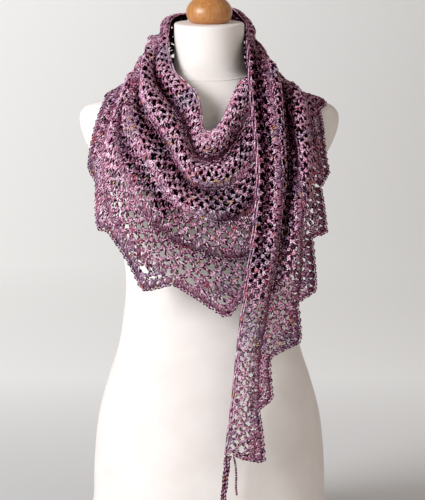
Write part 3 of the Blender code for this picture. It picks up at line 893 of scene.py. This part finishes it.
def outside_form(p):
    """About how far each point is outside the form, and the direction straight out of it."""
    def level(q):
        x, y, z = q[..., 0], q[..., 1], q[..., 2]
        half, front, back, square = np.moveaxis(form_section(z), -1, 0)
        depth = np.where(y < 0, front + bust(x, z), back)
        return (np.abs(x / half)**square + np.abs(y / depth)**square)**(1 / square) - 1
    here = level(p)
    step = 0.5
    slope = np.stack([(level(p + step * np.eye(3)[k]) - level(p - step * np.eye(3)[k])) / (2 * step)
                      for k in range(3)], axis=-1)
    steep = np.maximum(np.linalg.norm(slope, axis=-1), 1e-5)
    return here / steep, slope / steep[..., None]


def shawl_surface(place, across):
    """Points of the middle of the cloth, folds and all."""
    p = base_surface(place, across)
    rib_step, across_step = 0.02, 0.01
    along = (base_surface(np.clip(place + rib_step, 0, SHAWL_END), across)
             - base_surface(np.clip(place - rib_step, 0, SHAWL_END), across))
    cross = base_surface(place, across + across_step) - base_surface(place, across - across_step)
    out = np.cross(along, cross)
    out /= np.maximum(np.linalg.norm(out, axis=-1, keepdims=True), 1e-9)
    p = p + out * fold_rise(place, across, FOLDS + CREASES)[..., None]
    for _ in range(PUSHES):
        away, straight = outside_form(p)
        p += straight * np.clip(CLEAR_OF_FORM - away, 0, PUSH_MOST)[..., None]
    return p


print("halfway across at rib 4, folded:", shawl_surface(*halfway)[0].round(1))

# %% [markdown]
# ## Crochet coordinates
#
# Crochet is worked in rows along the shawl, all parallel to the straight edge, and in columns
# across it. So each stitch has a column number and a row number. A table says how many rows
# cross the shawl at each rib. The cloth's own length from the straight edge is measured along
# each column, folds included, and shared out among the rows. The result is a grid of points that
# any stitch can look itself up in.
#
# Three more grids have the same shape. One holds the way out of the cloth, and one the room
# between cloth and form, where a hidden layer can lie. The last holds shade: a trough gets less
# light than a ridge, and tightly gathered cloth gets less than loose cloth. A renderer's own
# shadows show that only in part, because the fuzz of real yarn fills its gaps.

# %% Crochet grid
COLUMN = 14.6           # mm between columns, along the middle of the shawl
COLUMNS = int(STATION[-1] / COLUMN)
GRID_PER_COLUMN = 8
GRID_PER_ROW = 6
GRID_ACROSS = 150       # points at which the cloth is measured across
# How many rows of net would fit across the cloth at each rib.
ROWS_AT_RIB = [34, 34, 33, 33, 34, 35, 34, 31, 31, 32, 31, 28, 26, 23, 20.5, 18, 15, 12.5,
               8.5, 6.2, 2.5]
MOST_ROWS = 42
EDGE_STEPS = 5          # the edge's direction is measured over this many points
TIP_ROUND = 5           # grid columns over which the tips of the teeth are rounded
UNDER_CLOTH = 1.5       # mm of the room under the cloth that its own yarn takes
ROOM_LEAST, ROOM_MOST = 0.3, 5.0
FOLD_SHADE = 50.0       # mm of fold that would take a stitch from full light to none
# Painted shade: a crease darkens its yarn more than a fold of the same depth.
CREASE_SHADE = 22.0
SHADE_LEAST, SHADE_MOST = -0.24, 0.08
GATHERED_AT = [0.0, 2.0, 5.0, 6.5, 12.0, 13.0, 16.5, 18.5, 20.0]        # ribs
GATHERED_SHADE = [-0.02, 0.02, 0.01, -0.06, -0.07, -0.06, -0.06, 0.0, 0.0]


def crochet_grid():
    """Points, normals, last rows, room under the cloth, and shade."""
    column = np.arange(COLUMNS * GRID_PER_COLUMN + 1) / GRID_PER_COLUMN
    place = place_of(column * STATION[-1] / COLUMNS)
    across = np.linspace(0, 1, GRID_ACROSS)
    k, s = np.meshgrid(place, across, indexing="ij")
    p = shawl_surface(k, s)
    length = lengths_along(p)
    rows = np.interp(place, np.arange(len(ROWS_AT_RIB)), ROWS_AT_RIB)
    per_row = (length[:, -1] - tooth_reach(place)[0]) / rows
    most = length[:, -1] / per_row
    wanted = np.arange(MOST_ROWS * GRID_PER_ROW + 1) / GRID_PER_ROW
    grid = np.empty((len(place), len(wanted), 3))
    for i in range(len(place)):
        for axis in range(3):
            grid[i, :, axis] = np.interp(wanted * per_row[i], length[i], p[i, :, axis])
        beyond = wanted > most[i]
        if beyond.any():
            end = p[i, -1] - p[i, -1 - EDGE_STEPS]
            end /= np.linalg.norm(end)
            grid[i, beyond] = p[i, -1] + end * ((wanted[beyond] - most[i]) * per_row[i])[:, None]
    out = unit(np.cross(np.gradient(grid, axis=0), np.gradient(grid, axis=1)))
    padded = np.pad(most, TIP_ROUND // 2, mode="edge")
    rounded = np.convolve(padded, np.ones(TIP_ROUND) / TIP_ROUND, mode="valid")
    room = np.clip(outside_form(grid)[0] - UNDER_CLOTH, ROOM_LEAST, ROOM_MOST)
    dark = fold_rise(k, s, FOLDS) / FOLD_SHADE + fold_rise(k, s, CREASES) / CREASE_SHADE
    shade = np.array([np.interp(wanted * per_row[i], length[i], dark[i]) for i in range(len(place))])
    # Painted shade, darker or lighter by rib, for how tightly the cloth is gathered.
    tight_shade = np.interp(place, GATHERED_AT, GATHERED_SHADE)[:, None]
    return grid, out, rounded, room, np.clip(shade, SHADE_LEAST, SHADE_MOST) + tight_shade


GRID, OUT, LAST, ROOM, SHADE = crochet_grid()
print(f"crochet grid: {COLUMNS} columns, up to {LAST.max():.0f} rows")

# %% [markdown]
# Two waves shift the stitches a little to the side, and two along their rows, because hand work
# is never even. They die out at the edges, which are worked firmly.

# %% Looking up a stitch
UNEVEN = 0.09           # columns by which a stitch strays from its place
UNEVEN_ROWS = 1.5       # rows of straying for each column of it


def look_up(table, column, row):
    """Reads the grid between its points."""
    u = np.clip(column * GRID_PER_COLUMN, 0, table.shape[0] - 1.001)
    v = np.clip(row * GRID_PER_ROW, 0, table.shape[1] - 1.001)
    i, j = u.astype(int), v.astype(int)
    fu, fv = u - i, v - j
    if table.ndim == 3:
        fu, fv = fu[..., None], fv[..., None]
    return ((table[i, j] * (1 - fu) + table[i + 1, j] * fu) * (1 - fv)
            + (table[i, j + 1] * (1 - fu) + table[i + 1, j + 1] * fu) * fv)


def last_row(column):
    """The row number at which the saw-tooth edge cuts a column."""
    return np.interp(column * GRID_PER_COLUMN, np.arange(len(LAST)), LAST)


def on_cloth(column, row, rise=0.0):
    """Points on the cloth, or rise millimetres above it."""
    column, row = np.broadcast_arrays(column, row)
    rise = np.broadcast_to(rise, column.shape)[..., None]
    inside = np.clip((last_row(column) - row) / 2, 0, 1) * np.clip(row / 2, 0, 1)
    # Radians of each wave per row and per column, far from simple ratios, so no pattern shows.
    aside = np.sin(2.9 * row + 1.7 * column) + 0.8 * np.sin(4.7 * column - 1.3 * row)
    along = np.sin(3.7 * column + 0.8 * row) + 0.8 * np.sin(1.9 * row - 5.1 * column)
    aside = UNEVEN * inside * aside
    along = UNEVEN_ROWS * UNEVEN * inside * along
    column, row = column + aside, row + along
    return look_up(GRID, column, row) + look_up(OUT, column, row) * rise


print("last row at column 40:", round(float(last_row(40.0)), 1))

# %% [markdown]
# ## Yarn
#
# A strand is a thin tube round a line. A chain of crochet looks like two strands twisted round
# each other, so most lines here become a twisted pair. Curve objects with a bevel would be easier
# to write, but thousands of them are slow. Here all lines of one kind have the same number of
# points, so numpy makes their tubes together, and each stretch becomes one mesh.
#
# A tube has four sides, with its corners at the top, the sides and the bottom. With smooth
# shading that looks round from a step away. Each strand starts at a random length of the skein,
# so neighbouring stitches differ in colour.

# %% Strands
TUBE_SIDES = 4
SKEIN = 4000.0          # mm of dyed yarn in which a strand may start
PLY_APART = 1700.0      # mm of skein between a pair's two strands, for each radian between them
FLAT = 0.7              # a chain is this much thinner than it is wide
UNDERSIDE, UNDERSIDE_GAIN = 0.5, 0.4    # light on the underside, which shows where cloth hangs free


class Yarn:
    """Collects tubes of yarn, and then makes one mesh of them."""

    def __init__(self):
        self.points, self.faces, self.lengths, self.lit = [], [], [], []
        self.count = 0

    def tubes(self, lines, normals, radius, length, height=0.0, tall=1.0, shade=0.0):
        """lines and normals are arrays: tube, point along it, xyz.

        height is how far each line's middle stands above the middle of its stitch, and tall is
        half the stitch's whole thickness. shade is the light that the fold adds or takes.
        """
        tubes, steps = lines.shape[:2]
        along = unit(np.gradient(lines, axis=1))
        side = unit(np.cross(along, normals))
        up = np.cross(side, along)
        turn = np.arange(TUBE_SIDES) * 2 * math.pi / TUBE_SIDES
        radius, height, tall, shade = (np.broadcast_to(value, (tubes, steps))[..., None]
                                       for value in (radius, height, tall, shade))
        rise = radius * np.cos(turn)
        ring = (lines[:, :, None] + up[:, :, None] * rise[..., None]
                + side[:, :, None] * (radius * np.sin(turn))[..., None])
        sides = ring_faces(steps, TUBE_SIDES)
        start = self.count + np.arange(tubes)[:, None, None] * steps * TUBE_SIDES
        self.faces.append((sides[None] + start).reshape(-1, 4))
        ends = np.array([np.arange(TUBE_SIDES)[::-1],
                         (steps - 1) * TUBE_SIDES + np.arange(TUBE_SIDES)])
        self.faces.append((ends[None] + start).reshape(-1, 4))
        self.points.append(ring.reshape(-1, 3))
        length = np.broadcast_to(length, (tubes, steps)).reshape(-1)
        self.lengths.append(np.repeat(length, TUBE_SIDES))
        share = (height + rise) / tall
        lit = np.where(np.cos(turn) < -0.5, UNDERSIDE + UNDERSIDE_GAIN * np.abs(share),
                       0.5 + 0.5 * share + shade)
        self.lit.append(np.clip(lit, 0, 1).reshape(-1))
        self.count += tubes * steps * TUBE_SIDES

    def twisted(self, lines, normals, strand, apart, turns, random, height=0.0, shade=0.0):
        """Two strands twisted round each line."""
        side = unit(np.cross(unit(np.gradient(lines, axis=1)), normals))
        tubes, steps = lines.shape[:2]
        part = np.linspace(0, 1, steps)[None]
        phase = random.uniform(0, 2 * math.pi, (tubes, 1)) + part * turns * 2 * math.pi
        length = lengths_along(lines) + random.uniform(0, SKEIN, (tubes, 1))
        for ply in (0.0, math.pi):
            rise = FLAT * apart * np.cos(phase + ply)
            aside = apart * np.sin(phase + ply)
            self.tubes(lines + normals * rise[..., None] + side * aside[..., None], normals, strand,
                       length + PLY_APART * ply, height + rise, 0.8 * (strand + apart), shade)

    def piece(self, name):
        made = mesh_piece(name, np.concatenate(self.points), np.concatenate(self.faces), dyed_and_shaded_yarn)
        for mark, values in (("yarn", self.lengths), ("lit", self.lit)):
            layer = made.data.attributes.new(mark, "FLOAT", "POINT")
            layer.data.foreach_set("value", np.concatenate(values).astype(np.float32))
        return made


print("corners of a strand stand at", (np.arange(TUBE_SIDES) * 360 // TUBE_SIDES).tolist(), "degrees")

# %% [markdown]
# ## The net and the shells
#
# The net is made of chain arches. An arch starts at one joint, bows outwards by one row, and
# ends at the next joint. The next row's joints sit on top of these arches, half a column along,
# which gives the diamond holes. After five rows of net comes a taller row of shells: fans of tall
# stitches, two to a column. Small random shifts stand for hand work, all drawn from a seed, so
# that the shawl is the same at each run.

# %% Row plan
NET_ROWS = 5
SHELL_HEIGHT = 1.5      # in rows of net
HEM_BAND = 1.45         # rows of net that the shells of the hem replace
ROOM_BELOW, ROOM_ABOVE = -0.2, 0.7      # rows of a stitch that must fit below the hem's band


def row_plan():
    """Every row of the shawl: where it starts, how tall it is, and its offset."""
    plan = []
    at = 0.0
    while at < MOST_ROWS:
        for _ in range(NET_ROWS):
            plan.append(("net", at, 1.0, 0.5 * (len(plan) % 2)))
            at += 1.0
        plan.append(("shell", at, SHELL_HEIGHT, 0.5 * (len(plan) % 2)))
        at += SHELL_HEIGHT
    return plan


ROW_PLAN = row_plan()


def stitches(kind, first, last):
    """Cells (column, row) between two columns that lie inside the hem's band of shells."""
    found = []
    for row_kind, row, tall, offset in ROW_PLAN:
        if row_kind != kind:
            continue
        column = np.arange(math.ceil(first - offset), math.ceil(last - offset)) + offset
        column = column[(column >= 0) & (column + 1 <= COLUMNS)]
        inside = ((last_row(column) - HEM_BAND >= row + ROOM_BELOW)
                  & (last_row(column + 1) - HEM_BAND >= row + ROOM_BELOW)
                  & (last_row(column + 0.5) - HEM_BAND >= row + ROOM_ABOVE * tall))
        found += [(c, row) for c in column[inside]]
    return np.array(found).reshape(-1, 2)


print("rows planned:", len(ROW_PLAN), "arches:", len(stitches("net", 0, COLUMNS)))

# %% [markdown]
# ### Arches
#
# Each arch is one twisted chain. Its top is flatter than a parabola's, since the next row pulls
# it down. Near the hem the chains are hardly stretched, so they are a little thicker there.

# %% Chain arches
STRAND = 1.15           # radius of one strand, mm
APART = 1.60            # distance of each strand from the middle of the pair
ARCH_POINTS = 11
ARCH_TURNS = 2.6        # twists of the pair in one arch
BOW, BOW_VARIES = 1.05, 0.06            # rows by which an arch bows out
LEAN_VARIES = 0.05      # columns by which its top leans
SQUARENESS = 2.1        # 2 gives a parabola
LIFT, LIFT_VARIES = 0.8, 0.4            # mm by which its middle lifts off the cloth
THICKER = 0.22          # by how much the chains near the hem are thicker
THICKER_FROM, THICKER_OVER = 0.4, 0.3   # shares of the width


def chains(yarn, column, row, rise, turns, random, strand=STRAND, apart=APART, height=0.0):
    """Twisted chains along lines on the cloth."""
    column, row = np.broadcast_arrays(column, row)
    yarn.twisted(on_cloth(column, row, rise), look_up(OUT, column, row), strand, apart, turns, random,
                 height, look_up(SHADE, column, row))


def net(yarn, cells, random):
    t = np.linspace(0, 1, ARCH_POINTS)[None]
    n = len(cells)
    bow = BOW + random.normal(0, BOW_VARIES, (n, 1))
    lean = random.normal(0, LEAN_VARIES, (n, 1))
    column = cells[:, 0:1] + t + lean * np.sin(math.pi * t)
    row = cells[:, 1:2] + bow * (1 - np.abs(2 * t - 1)**SQUARENESS)
    rise = LIFT * np.sin(math.pi * t) + random.normal(0, LIFT_VARIES, (n, 1))
    share = cells[:, 1:2] / last_row(cells[:, 0:1] + 0.5)
    thick = 1 + THICKER * smooth_step((share - THICKER_FROM) / THICKER_OVER)
    chains(yarn, column, row, rise, ARCH_TURNS, random, STRAND * thick, APART * thick)


print(f"a chain is {2 * (STRAND + APART):.1f} mm wide")

# %% [markdown]
# ### Knots
#
# The hook goes into the top of an arch and pulls a loop through, and that loop is the small knot
# at each joint of the net. From a step away it is a closed ring, so a ring of one strand stands
# for it, tilted and sized at random.

# %% Knots
RING = 2.3              # radius of the loop at each joint, mm
RING_POINTS = 8
RING_TURN = 2.1 * math.pi               # a little over a full turn, so that the ends overlap
RING_VARIES = (0.8, 1.2)
RING_TALL = 1.15        # the loop is this much longer across the cloth
RING_STRAND = 0.85      # share of a strand's radius
RING_RISE = 1.3         # mm above the cloth
RING_START = 6.0        # radians within which a ring's ends may lie
ASIDE = 0.1             # columns each way, to find which way the row runs
KNOT_ROW = 1.02         # rows from an arch's feet to its knot
KNOT_HEIGHT, KNOT_TALL = 1.0, 2.2       # mm, for the light on the ring
RING_YARN = 2.1         # mm of yarn for each radian of the loop
TILT_MOST = 0.8         # mm


def knots(yarn, cells, random):
    """The loop at the top of each arch that the next row is worked into."""
    n = len(cells)
    turn = np.linspace(0, RING_TURN, RING_POINTS)[None] + random.uniform(0, RING_START, (n, 1))
    column, row = cells[:, 0:1] + 0.5 + 0 * turn, cells[:, 1:2] + KNOT_ROW + 0 * turn
    middle, out = on_cloth(column, row, RING_RISE), look_up(OUT, column, row)
    side = unit(on_cloth(column + ASIDE, row) - on_cloth(column - ASIDE, row))
    up = unit(np.cross(out, side))
    size = RING * random.uniform(*RING_VARIES, (n, 1))
    rise = random.uniform(-TILT_MOST, TILT_MOST, (n, 1)) * np.cos(turn)
    line = (middle + side * (size * np.cos(turn))[..., None]
            + up * (RING_TALL * size * np.sin(turn))[..., None] + out * rise[..., None])
    length = random.uniform(0, SKEIN, (n, 1)) + RING_YARN * turn
    yarn.tubes(line, out, RING_STRAND * STRAND, length, KNOT_HEIGHT + rise, KNOT_TALL,
               look_up(SHADE, column, row))


print(f"a knot is {2 * RING:.1f} mm across")

# %% [markdown]
# ### Shells
#
# A shell is a fan of tall stitches worked into one place. The stitches share a foot and spread
# out at their heads. Each is a plain thick tube, since its own twist is too tight to see. One
# chain runs along the tops of the shells and a shorter one along their feet.

# %% Shells
FAN = 5                 # tall stitches in one shell
POST = 1.0              # radius of a tall stitch, mm
POST_POINTS = 5
POST_LENGTH = 18.0      # mm of yarn along one stitch
POST_LIFT = 1.2         # mm by which a stitch's middle lifts off the cloth
POST_ENDS, POST_SWELL = 0.85, 0.25      # thickness at the ends, and what the middle adds
POST_HEIGHT, POST_TALL = 0.3, 2.0       # mm, for the light on the stitch
FLARE = 0.8             # under 1, the stitches spread out early
FOOT_SPREAD, HEAD_SPREAD = 0.12, 0.46   # columns
HEAD_VARIES = 0.02
FOOT_GAP, HEAD_GAP = 0.12, 0.10         # rows left free below and above the stitches
HEAD_ROUND = 0.5        # a quarter of this is how many rows lower the outer heads are
TOP_WAVE = 0.08         # rows by which the top chain rises over each shell
TOP_RISE = 0.3          # mm by which it lifts off the cloth
TOP_TURNS, FOOT_TURNS = 0.8 * ARCH_TURNS, 0.6 * ARCH_TURNS
FIRM = (STRAND * 0.9, APART * 0.8)      # strand and distance of a firmly worked chain


def fans(yarn, foot_column, foot_row, head_column, head_row, random):
    """Tall stitches, each from a foot to a head; all four are arrays with one row per stitch."""
    t = np.linspace(0, 1, POST_POINTS)[None]
    n = len(foot_column)
    column = foot_column + (head_column - foot_column) * t**FLARE
    row = foot_row + (head_row - foot_row) * t
    rise = POST_LIFT * np.sin(math.pi * t) + random.normal(0, LIFT_VARIES, (n, 1))
    thick = POST * (POST_ENDS + POST_SWELL * np.sin(math.pi * t))
    length = random.uniform(0, SKEIN, (n, 1)) + POST_LENGTH * t
    yarn.tubes(on_cloth(column, row, rise), look_up(OUT, column, row), thick, length, POST_HEIGHT,
               POST_TALL, look_up(SHADE, column, row))


def shells(yarn, cells, random):
    for half in (0.25, 0.75):
        for stitch in np.linspace(-0.5, 0.5, FAN):
            foot = cells[:, 0:1] + half + FOOT_SPREAD * stitch
            head = (cells[:, 0:1] + half + HEAD_SPREAD * stitch
                    + random.normal(0, HEAD_VARIES, (len(cells), 1)))
            bottom = cells[:, 1:2] + FOOT_GAP
            top = cells[:, 1:2] + SHELL_HEIGHT - HEAD_GAP - HEAD_ROUND * stitch**2
            fans(yarn, foot, bottom, head, top, random)
    t = np.linspace(0, 1, ARCH_POINTS)[None]
    column = cells[:, 0:1] + t
    top = cells[:, 1:2] + SHELL_HEIGHT + TOP_WAVE * np.cos(4 * math.pi * (t - 0.25))
    chains(yarn, column, top, TOP_RISE, TOP_TURNS, random, *FIRM)
    column = column[:, ::2]
    chains(yarn, column, cells[:, 1:2] + 0 * column, 0.0, FOOT_TURNS, random, *FIRM)


print("shells:", 2 * len(stitches("shell", 0, COLUMNS)), "with", FAN, "stitches each")

# %% [markdown]
# ## The hem and the straight edge
#
# The hem is one more row of shells. It follows every tooth, and a firm chain runs along their
# tops in small scallops. Short chains tie the last arches of the net to it. The straight inner
# edge has two long cords side by side, hardly twisted, as the turning chains of the rows make it.

# %% Hem
HEM_PITCH = 11.5        # mm between the shells of the hem
HEM_FOOT, HEM_HEAD = 0.30, 0.92         # spread of a shell, as shares of the pitch
HEM_GAP = 0.30          # rows left free between the outer stitches and the edge
HEM_BULGE = 0.25        # rows by which a shell's middle stands out
HEM_STEP = 0.04         # columns between the points at which the hem is measured
CHAIN_IN = 0.16         # rows from the edge in to the chain
CHAIN_RISE = 0.2        # mm by which a chain of the edge lifts off the cloth
SCALLOP = 0.34          # rows by which the chain bulges over each shell
CHAIN_STEP = 1.7        # mm between points of an edge chain
CHAIN_TURN = 11.0       # mm of chain in one twist


def hem_line(first, last):
    """Columns along the hem, and the length of hem up to each."""
    column = np.arange(first, last, HEM_STEP)
    points = on_cloth(column, last_row(column))
    return column, lengths_along(points[None])[0]


def hem(yarn, first, last, random):
    column, gone = hem_line(first, last)
    centre = np.arange(HEM_PITCH / 2, gone[-1], HEM_PITCH)[:, None]
    for stitch in np.linspace(-0.5, 0.5, FAN + 1):
        head = np.interp(centre + HEM_HEAD * stitch * HEM_PITCH, gone, column)
        foot = np.interp(centre + HEM_FOOT * stitch * HEM_PITCH, gone, column)
        bulge = HEM_BULGE * (1 - 4 * stitch**2)
        fans(yarn, foot, last_row(foot) - HEM_BAND, head, last_row(head) - HEM_GAP + bulge, random)
    along = np.arange(0, gone[-1], CHAIN_STEP)
    column = np.interp(along, gone, column)[None]
    scallop = SCALLOP * np.abs(np.sin(math.pi * along / HEM_PITCH))[None]
    turns = gone[-1] / CHAIN_TURN
    chains(yarn, column, last_row(column) - CHAIN_IN + scallop, CHAIN_RISE, turns, random)
    chains(yarn, column, last_row(column) - HEM_BAND, CHAIN_RISE, turns, random, *FIRM)


print(f"the hem is {hem_line(0, COLUMNS)[1][-1]:.0f} mm long")

# %% Straight edge and ties
CORD_TURN = 70.0        # mm of the straight edge's long strands in one twist
CORD_ROWS = (0.12, 0.62)
CORD_STRAND, CORD_APART = 1.2, 0.95     # mm
CORD_RISE, CORD_HEIGHT = 0.6, 0.35      # mm above the cloth, and for the light
CORD_STEP = 0.12        # columns between the cords' points
TIE_POINTS, TIE_TURNS = 7, 1.2
TIE_SHORTEST = 0.15     # rows; a shorter gap needs no tie
TIE_OVERLAP = 0.05      # rows
TIE_STRAYS = 0.05       # columns


def straight_edge(yarn, first, last, random):
    column = np.arange(first, last, CORD_STEP)[None]
    turns = lengths_along(on_cloth(column, 0 * column))[0, -1] / CORD_TURN
    for row in CORD_ROWS:
        chains(yarn, column, row + 0 * column, CORD_RISE, turns, random, CORD_STRAND, CORD_APART,
               CORD_HEIGHT)


def ties(yarn, first, last, random):
    """Short chains from the last arches of the net to the hem's shells."""
    tops = {}
    for kind, tall in (("net", 1.0), ("shell", SHELL_HEIGHT)):
        for column, row in stitches(kind, first - 1, last + 1):
            tops[column + 0.5] = max(tops.get(column + 0.5, 0), row + tall)
    gaps = [(c, row - TIE_OVERLAP, last_row(c) - HEM_BAND) for c, row in tops.items()
            if first <= c < last and last_row(c) - HEM_BAND - row > TIE_SHORTEST]
    gaps = np.array(gaps).reshape(-1, 3)
    t = np.linspace(0, 1, TIE_POINTS)[None]
    strays = TIE_STRAYS * np.sin(math.pi * t) * random.normal(0, 1, (len(gaps), 1))
    row = gaps[:, 1:2] + (gaps[:, 2:3] - gaps[:, 1:2]) * t
    chains(yarn, gaps[:, 0:1] + strays, row, CHAIN_RISE, TIE_TURNS, random)
    return len(gaps)


edge = on_cloth(np.arange(0, COLUMNS, 0.5)[None], 0.0)
print(f"the straight edge is {lengths_along(edge)[0, -1]:.0f} mm long")

# %% [markdown]
# ## The gathered layer
#
# Where the shawl is gathered, round the neck and in the folds of the front, more net lies under
# what shows. It is made of plainer tubes, between the cloth and the form, and its colour is painted
# shade: `tall` is negative here, so `lit` paints the outer sides, which lie under the cloth, dark,
# and the inner sides lighter. Through the holes above, the layer shows as painted shade.

# %% Gathered layer
GATHERED = [
    # from rib, to rib, rows from, to: shares of the width
    (0.5, 3.2, 0.00, 0.55),
    (3.2, 4.2, 0.00, 0.62),
    (4.2, 5.5, 0.00, 0.80),
    (5.5, 12.0, 0.00, 0.93),
    (12.0, 14.4, 0.00, 0.92),
    (14.4, 15.4, 0.00, 0.72),
    (15.4, 16.3, 0.00, 0.45),
    (16.3, 16.7, 0.00, 0.22),
]
GATHER_RADIUS = 2.3     # mm
GATHER_SHIFT = (0.27, 0.45)             # columns and rows from the net above
GATHER_POINTS = 7
GATHER_ARCH = 22.0      # mm of yarn in one arch
# Negative, so that the outer sides of the gathered layer are painted dark: painted shade under the
# cloth.
GATHER_TALL = -4.2      # mm
GATHER_SQUARENESS, GATHER_VARIES = 1.7, 0.08
GATHER_DEEP, GATHER_WAVE = 0.75, 0.2    # shares of the room under the cloth


def gathered(yarn, first, last, random):
    cells = stitches("net", first, last)
    place = place_of((cells[:, 0] + 0.5) * STATION[-1] / COLUMNS)
    share = (cells[:, 1] + 0.5) / last_row(cells[:, 0] + 0.5)
    keep = np.zeros(len(cells), bool)
    for start, stop, low, high in GATHERED:
        keep |= (place >= start) & (place < stop) & (share >= low) & (share < high)
    cells = cells[keep] + GATHER_SHIFT
    if not len(cells):
        return 0
    t = np.linspace(0, 1, GATHER_POINTS)[None]
    column = cells[:, 0:1] + t
    bow = 1 - np.abs(2 * t - 1)**GATHER_SQUARENESS
    row = cells[:, 1:2] + bow + random.normal(0, GATHER_VARIES, (len(cells), 1))
    down = -look_up(ROOM, column, row) * (GATHER_DEEP + GATHER_WAVE * np.sin(2 * math.pi * t))
    length = random.uniform(0, SKEIN, (len(cells), 1)) + GATHER_ARCH * t
    yarn.tubes(on_cloth(column, row, down), look_up(OUT, column, row), GATHER_RADIUS, length, 0.0,
               GATHER_TALL)
    return len(cells)


print("gathered zones:", len(GATHERED))

# %% [markdown]
# ## Working the shawl
#
# Now each stretch of the shawl is worked in turn: its net, shells, hem and under-layer, and the
# solid that it replaces is hidden. The table gives the flat size that each stretch was worked to.
# The sizes come from counting stitches: laid flat, an arch takes about 18 mm by 9 mm, and a piece
# of shell row 18 mm by 14 mm. On the form the cloth is drawn in, so it covers less.

# %% Work the shawl
STRETCHES = [
    # name,          first rib, last rib, flat width, flat length, flat area (metres), replaces
    ("front_right",        0.0,      3.0,       0.35,        0.43,              0.094, "shawl_front"),
    ("front_left",         3.0,      6.0,       0.35,        0.42,              0.097, "shawl_front"),
    ("back_left",          6.0,      9.0,       0.33,        0.35,              0.064, "shawl_back"),
    ("back_right",         9.0,     12.0,       0.34,        0.35,              0.055, "shawl_back"),
    ("tail_upper",        12.0,     15.0,       0.24,        0.28,              0.055, "shawl_tail"),
    ("tail_lower",        15.0, SHAWL_END,      0.17,        0.45,              0.049, "shawl_tail"),
]


def work_stretch(name, first_rib, last_rib, width, length, area, solid, seed):
    random = np.random.default_rng(seed)
    first = station(first_rib) / STATION[-1] * COLUMNS
    last = station(last_rib) / STATION[-1] * COLUMNS
    cloth, tops, border, under = Yarn(), Yarn(), Yarn(), Yarn()
    net_cells, shell_cells = stitches("net", first, last), stitches("shell", first, last)
    net(cloth, net_cells, random)
    knots(tops, net_cells, random)
    shells(tops, shell_cells, random)
    tied = ties(tops, first, last, random)
    hem(border, first, last, random)
    straight_edge(border, first, last, random)
    hidden = gathered(under, first, last, random)
    made = cloth.piece("net_" + name)
    going_with = [tops.piece("shells_" + name), border.piece("edging_" + name)]
    if hidden:
        going_with.append(under.piece("gathers_" + name))
    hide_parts(solid)
    triangles = [2 * sum(len(f) for f in y.faces) for y in (cloth, tops, border, under)]
    print(f"{name}: {len(net_cells)} arches, {2 * len(shell_cells)} shells, {tied} ties, "
          f"{hidden} arches under, triangles {triangles}")


for seed, stretch in enumerate(STRETCHES):
    work_stretch(*stretch, seed=100 + seed)

# %% [markdown]
# ## The tail's loose end
#
# Below the last tooth the shawl runs out into a thick twisted end and one thin strand. The thick
# end is three chains wound round each other, closer and closer towards the bottom. The thin one
# is a single chain. Each follows its solid's centre line, and a spline makes it smooth.

# %% Twisted end and strand
TWIST_PATH = [
    # x,    y,     z
    (28.0, -151.4, 151.2),
    (26.0, -151.6, 140.0),
    (24.5, -151.8, 122.0),
    (22.5, -152.0, 104.0),
    (21.0, -152.0, 88.0),
    (20.5, -151.6, 72.0),
    (21.5, -151.2, 60.0),
]
STRAND_PATH = [
    (36.0, -150.4, 150.0),
    (38.6, -149.8, 138.0),
    (39.8, -149.4, 122.0),
    (39.4, -149.4, 106.0),
    (40.6, -149.4, 93.0),
]

HANGING_POINTS = 60
PAIR_TURNS = 9          # twists of each chain along its whole length
NARROWER = 0.45         # by how much the bottom is narrower than the top
SHALLOW = 0.6           # depth of the winding as a share of its width
HANGING_HEIGHT = -0.2   # mm, for the light


def hanging(name, path, chains_wound, spread, turns, strand, apart, seed):
    """Chains wound round one centre line; spread, strand and apart in millimetres."""
    random = np.random.default_rng(seed)
    part = np.linspace(0, 1, HANGING_POINTS)
    centre = spline(np.linspace(0, 1, len(path)), np.array(path), part)
    front = np.tile([0.0, -1.0, 0.0], (HANGING_POINTS, 1))
    yarn = Yarn()
    for number in range(chains_wound):
        angle = 2 * math.pi * (number / chains_wound + turns * part)
        narrow = spread * (1 - NARROWER * part)
        offset = np.stack([narrow * np.cos(angle), SHALLOW * narrow * np.sin(angle), 0 * angle], axis=1)
        yarn.twisted((centre + offset)[None], front[None], strand, apart, PAIR_TURNS, random,
                     HANGING_HEIGHT)
    return yarn.piece(name)


twist = hanging("twisted_end", TWIST_PATH, 3, 3.3, 1.4, 1.3, 1.2, 7)
strand = hanging("loose_strand", STRAND_PATH, 1, 0.0, 0.0, 0.85, 0.75, 8)
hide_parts("shawl_twist")
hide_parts("shawl_strand")
print("loose end:", twist.name, strand.name)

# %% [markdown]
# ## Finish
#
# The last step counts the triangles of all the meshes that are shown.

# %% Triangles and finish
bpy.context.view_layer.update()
shown = [o for o in scene.objects if o.type == "MESH" and not o.hide_render]
print("triangles:", sum(len(face.vertices) - 2 for o in shown for face in o.data.polygons))
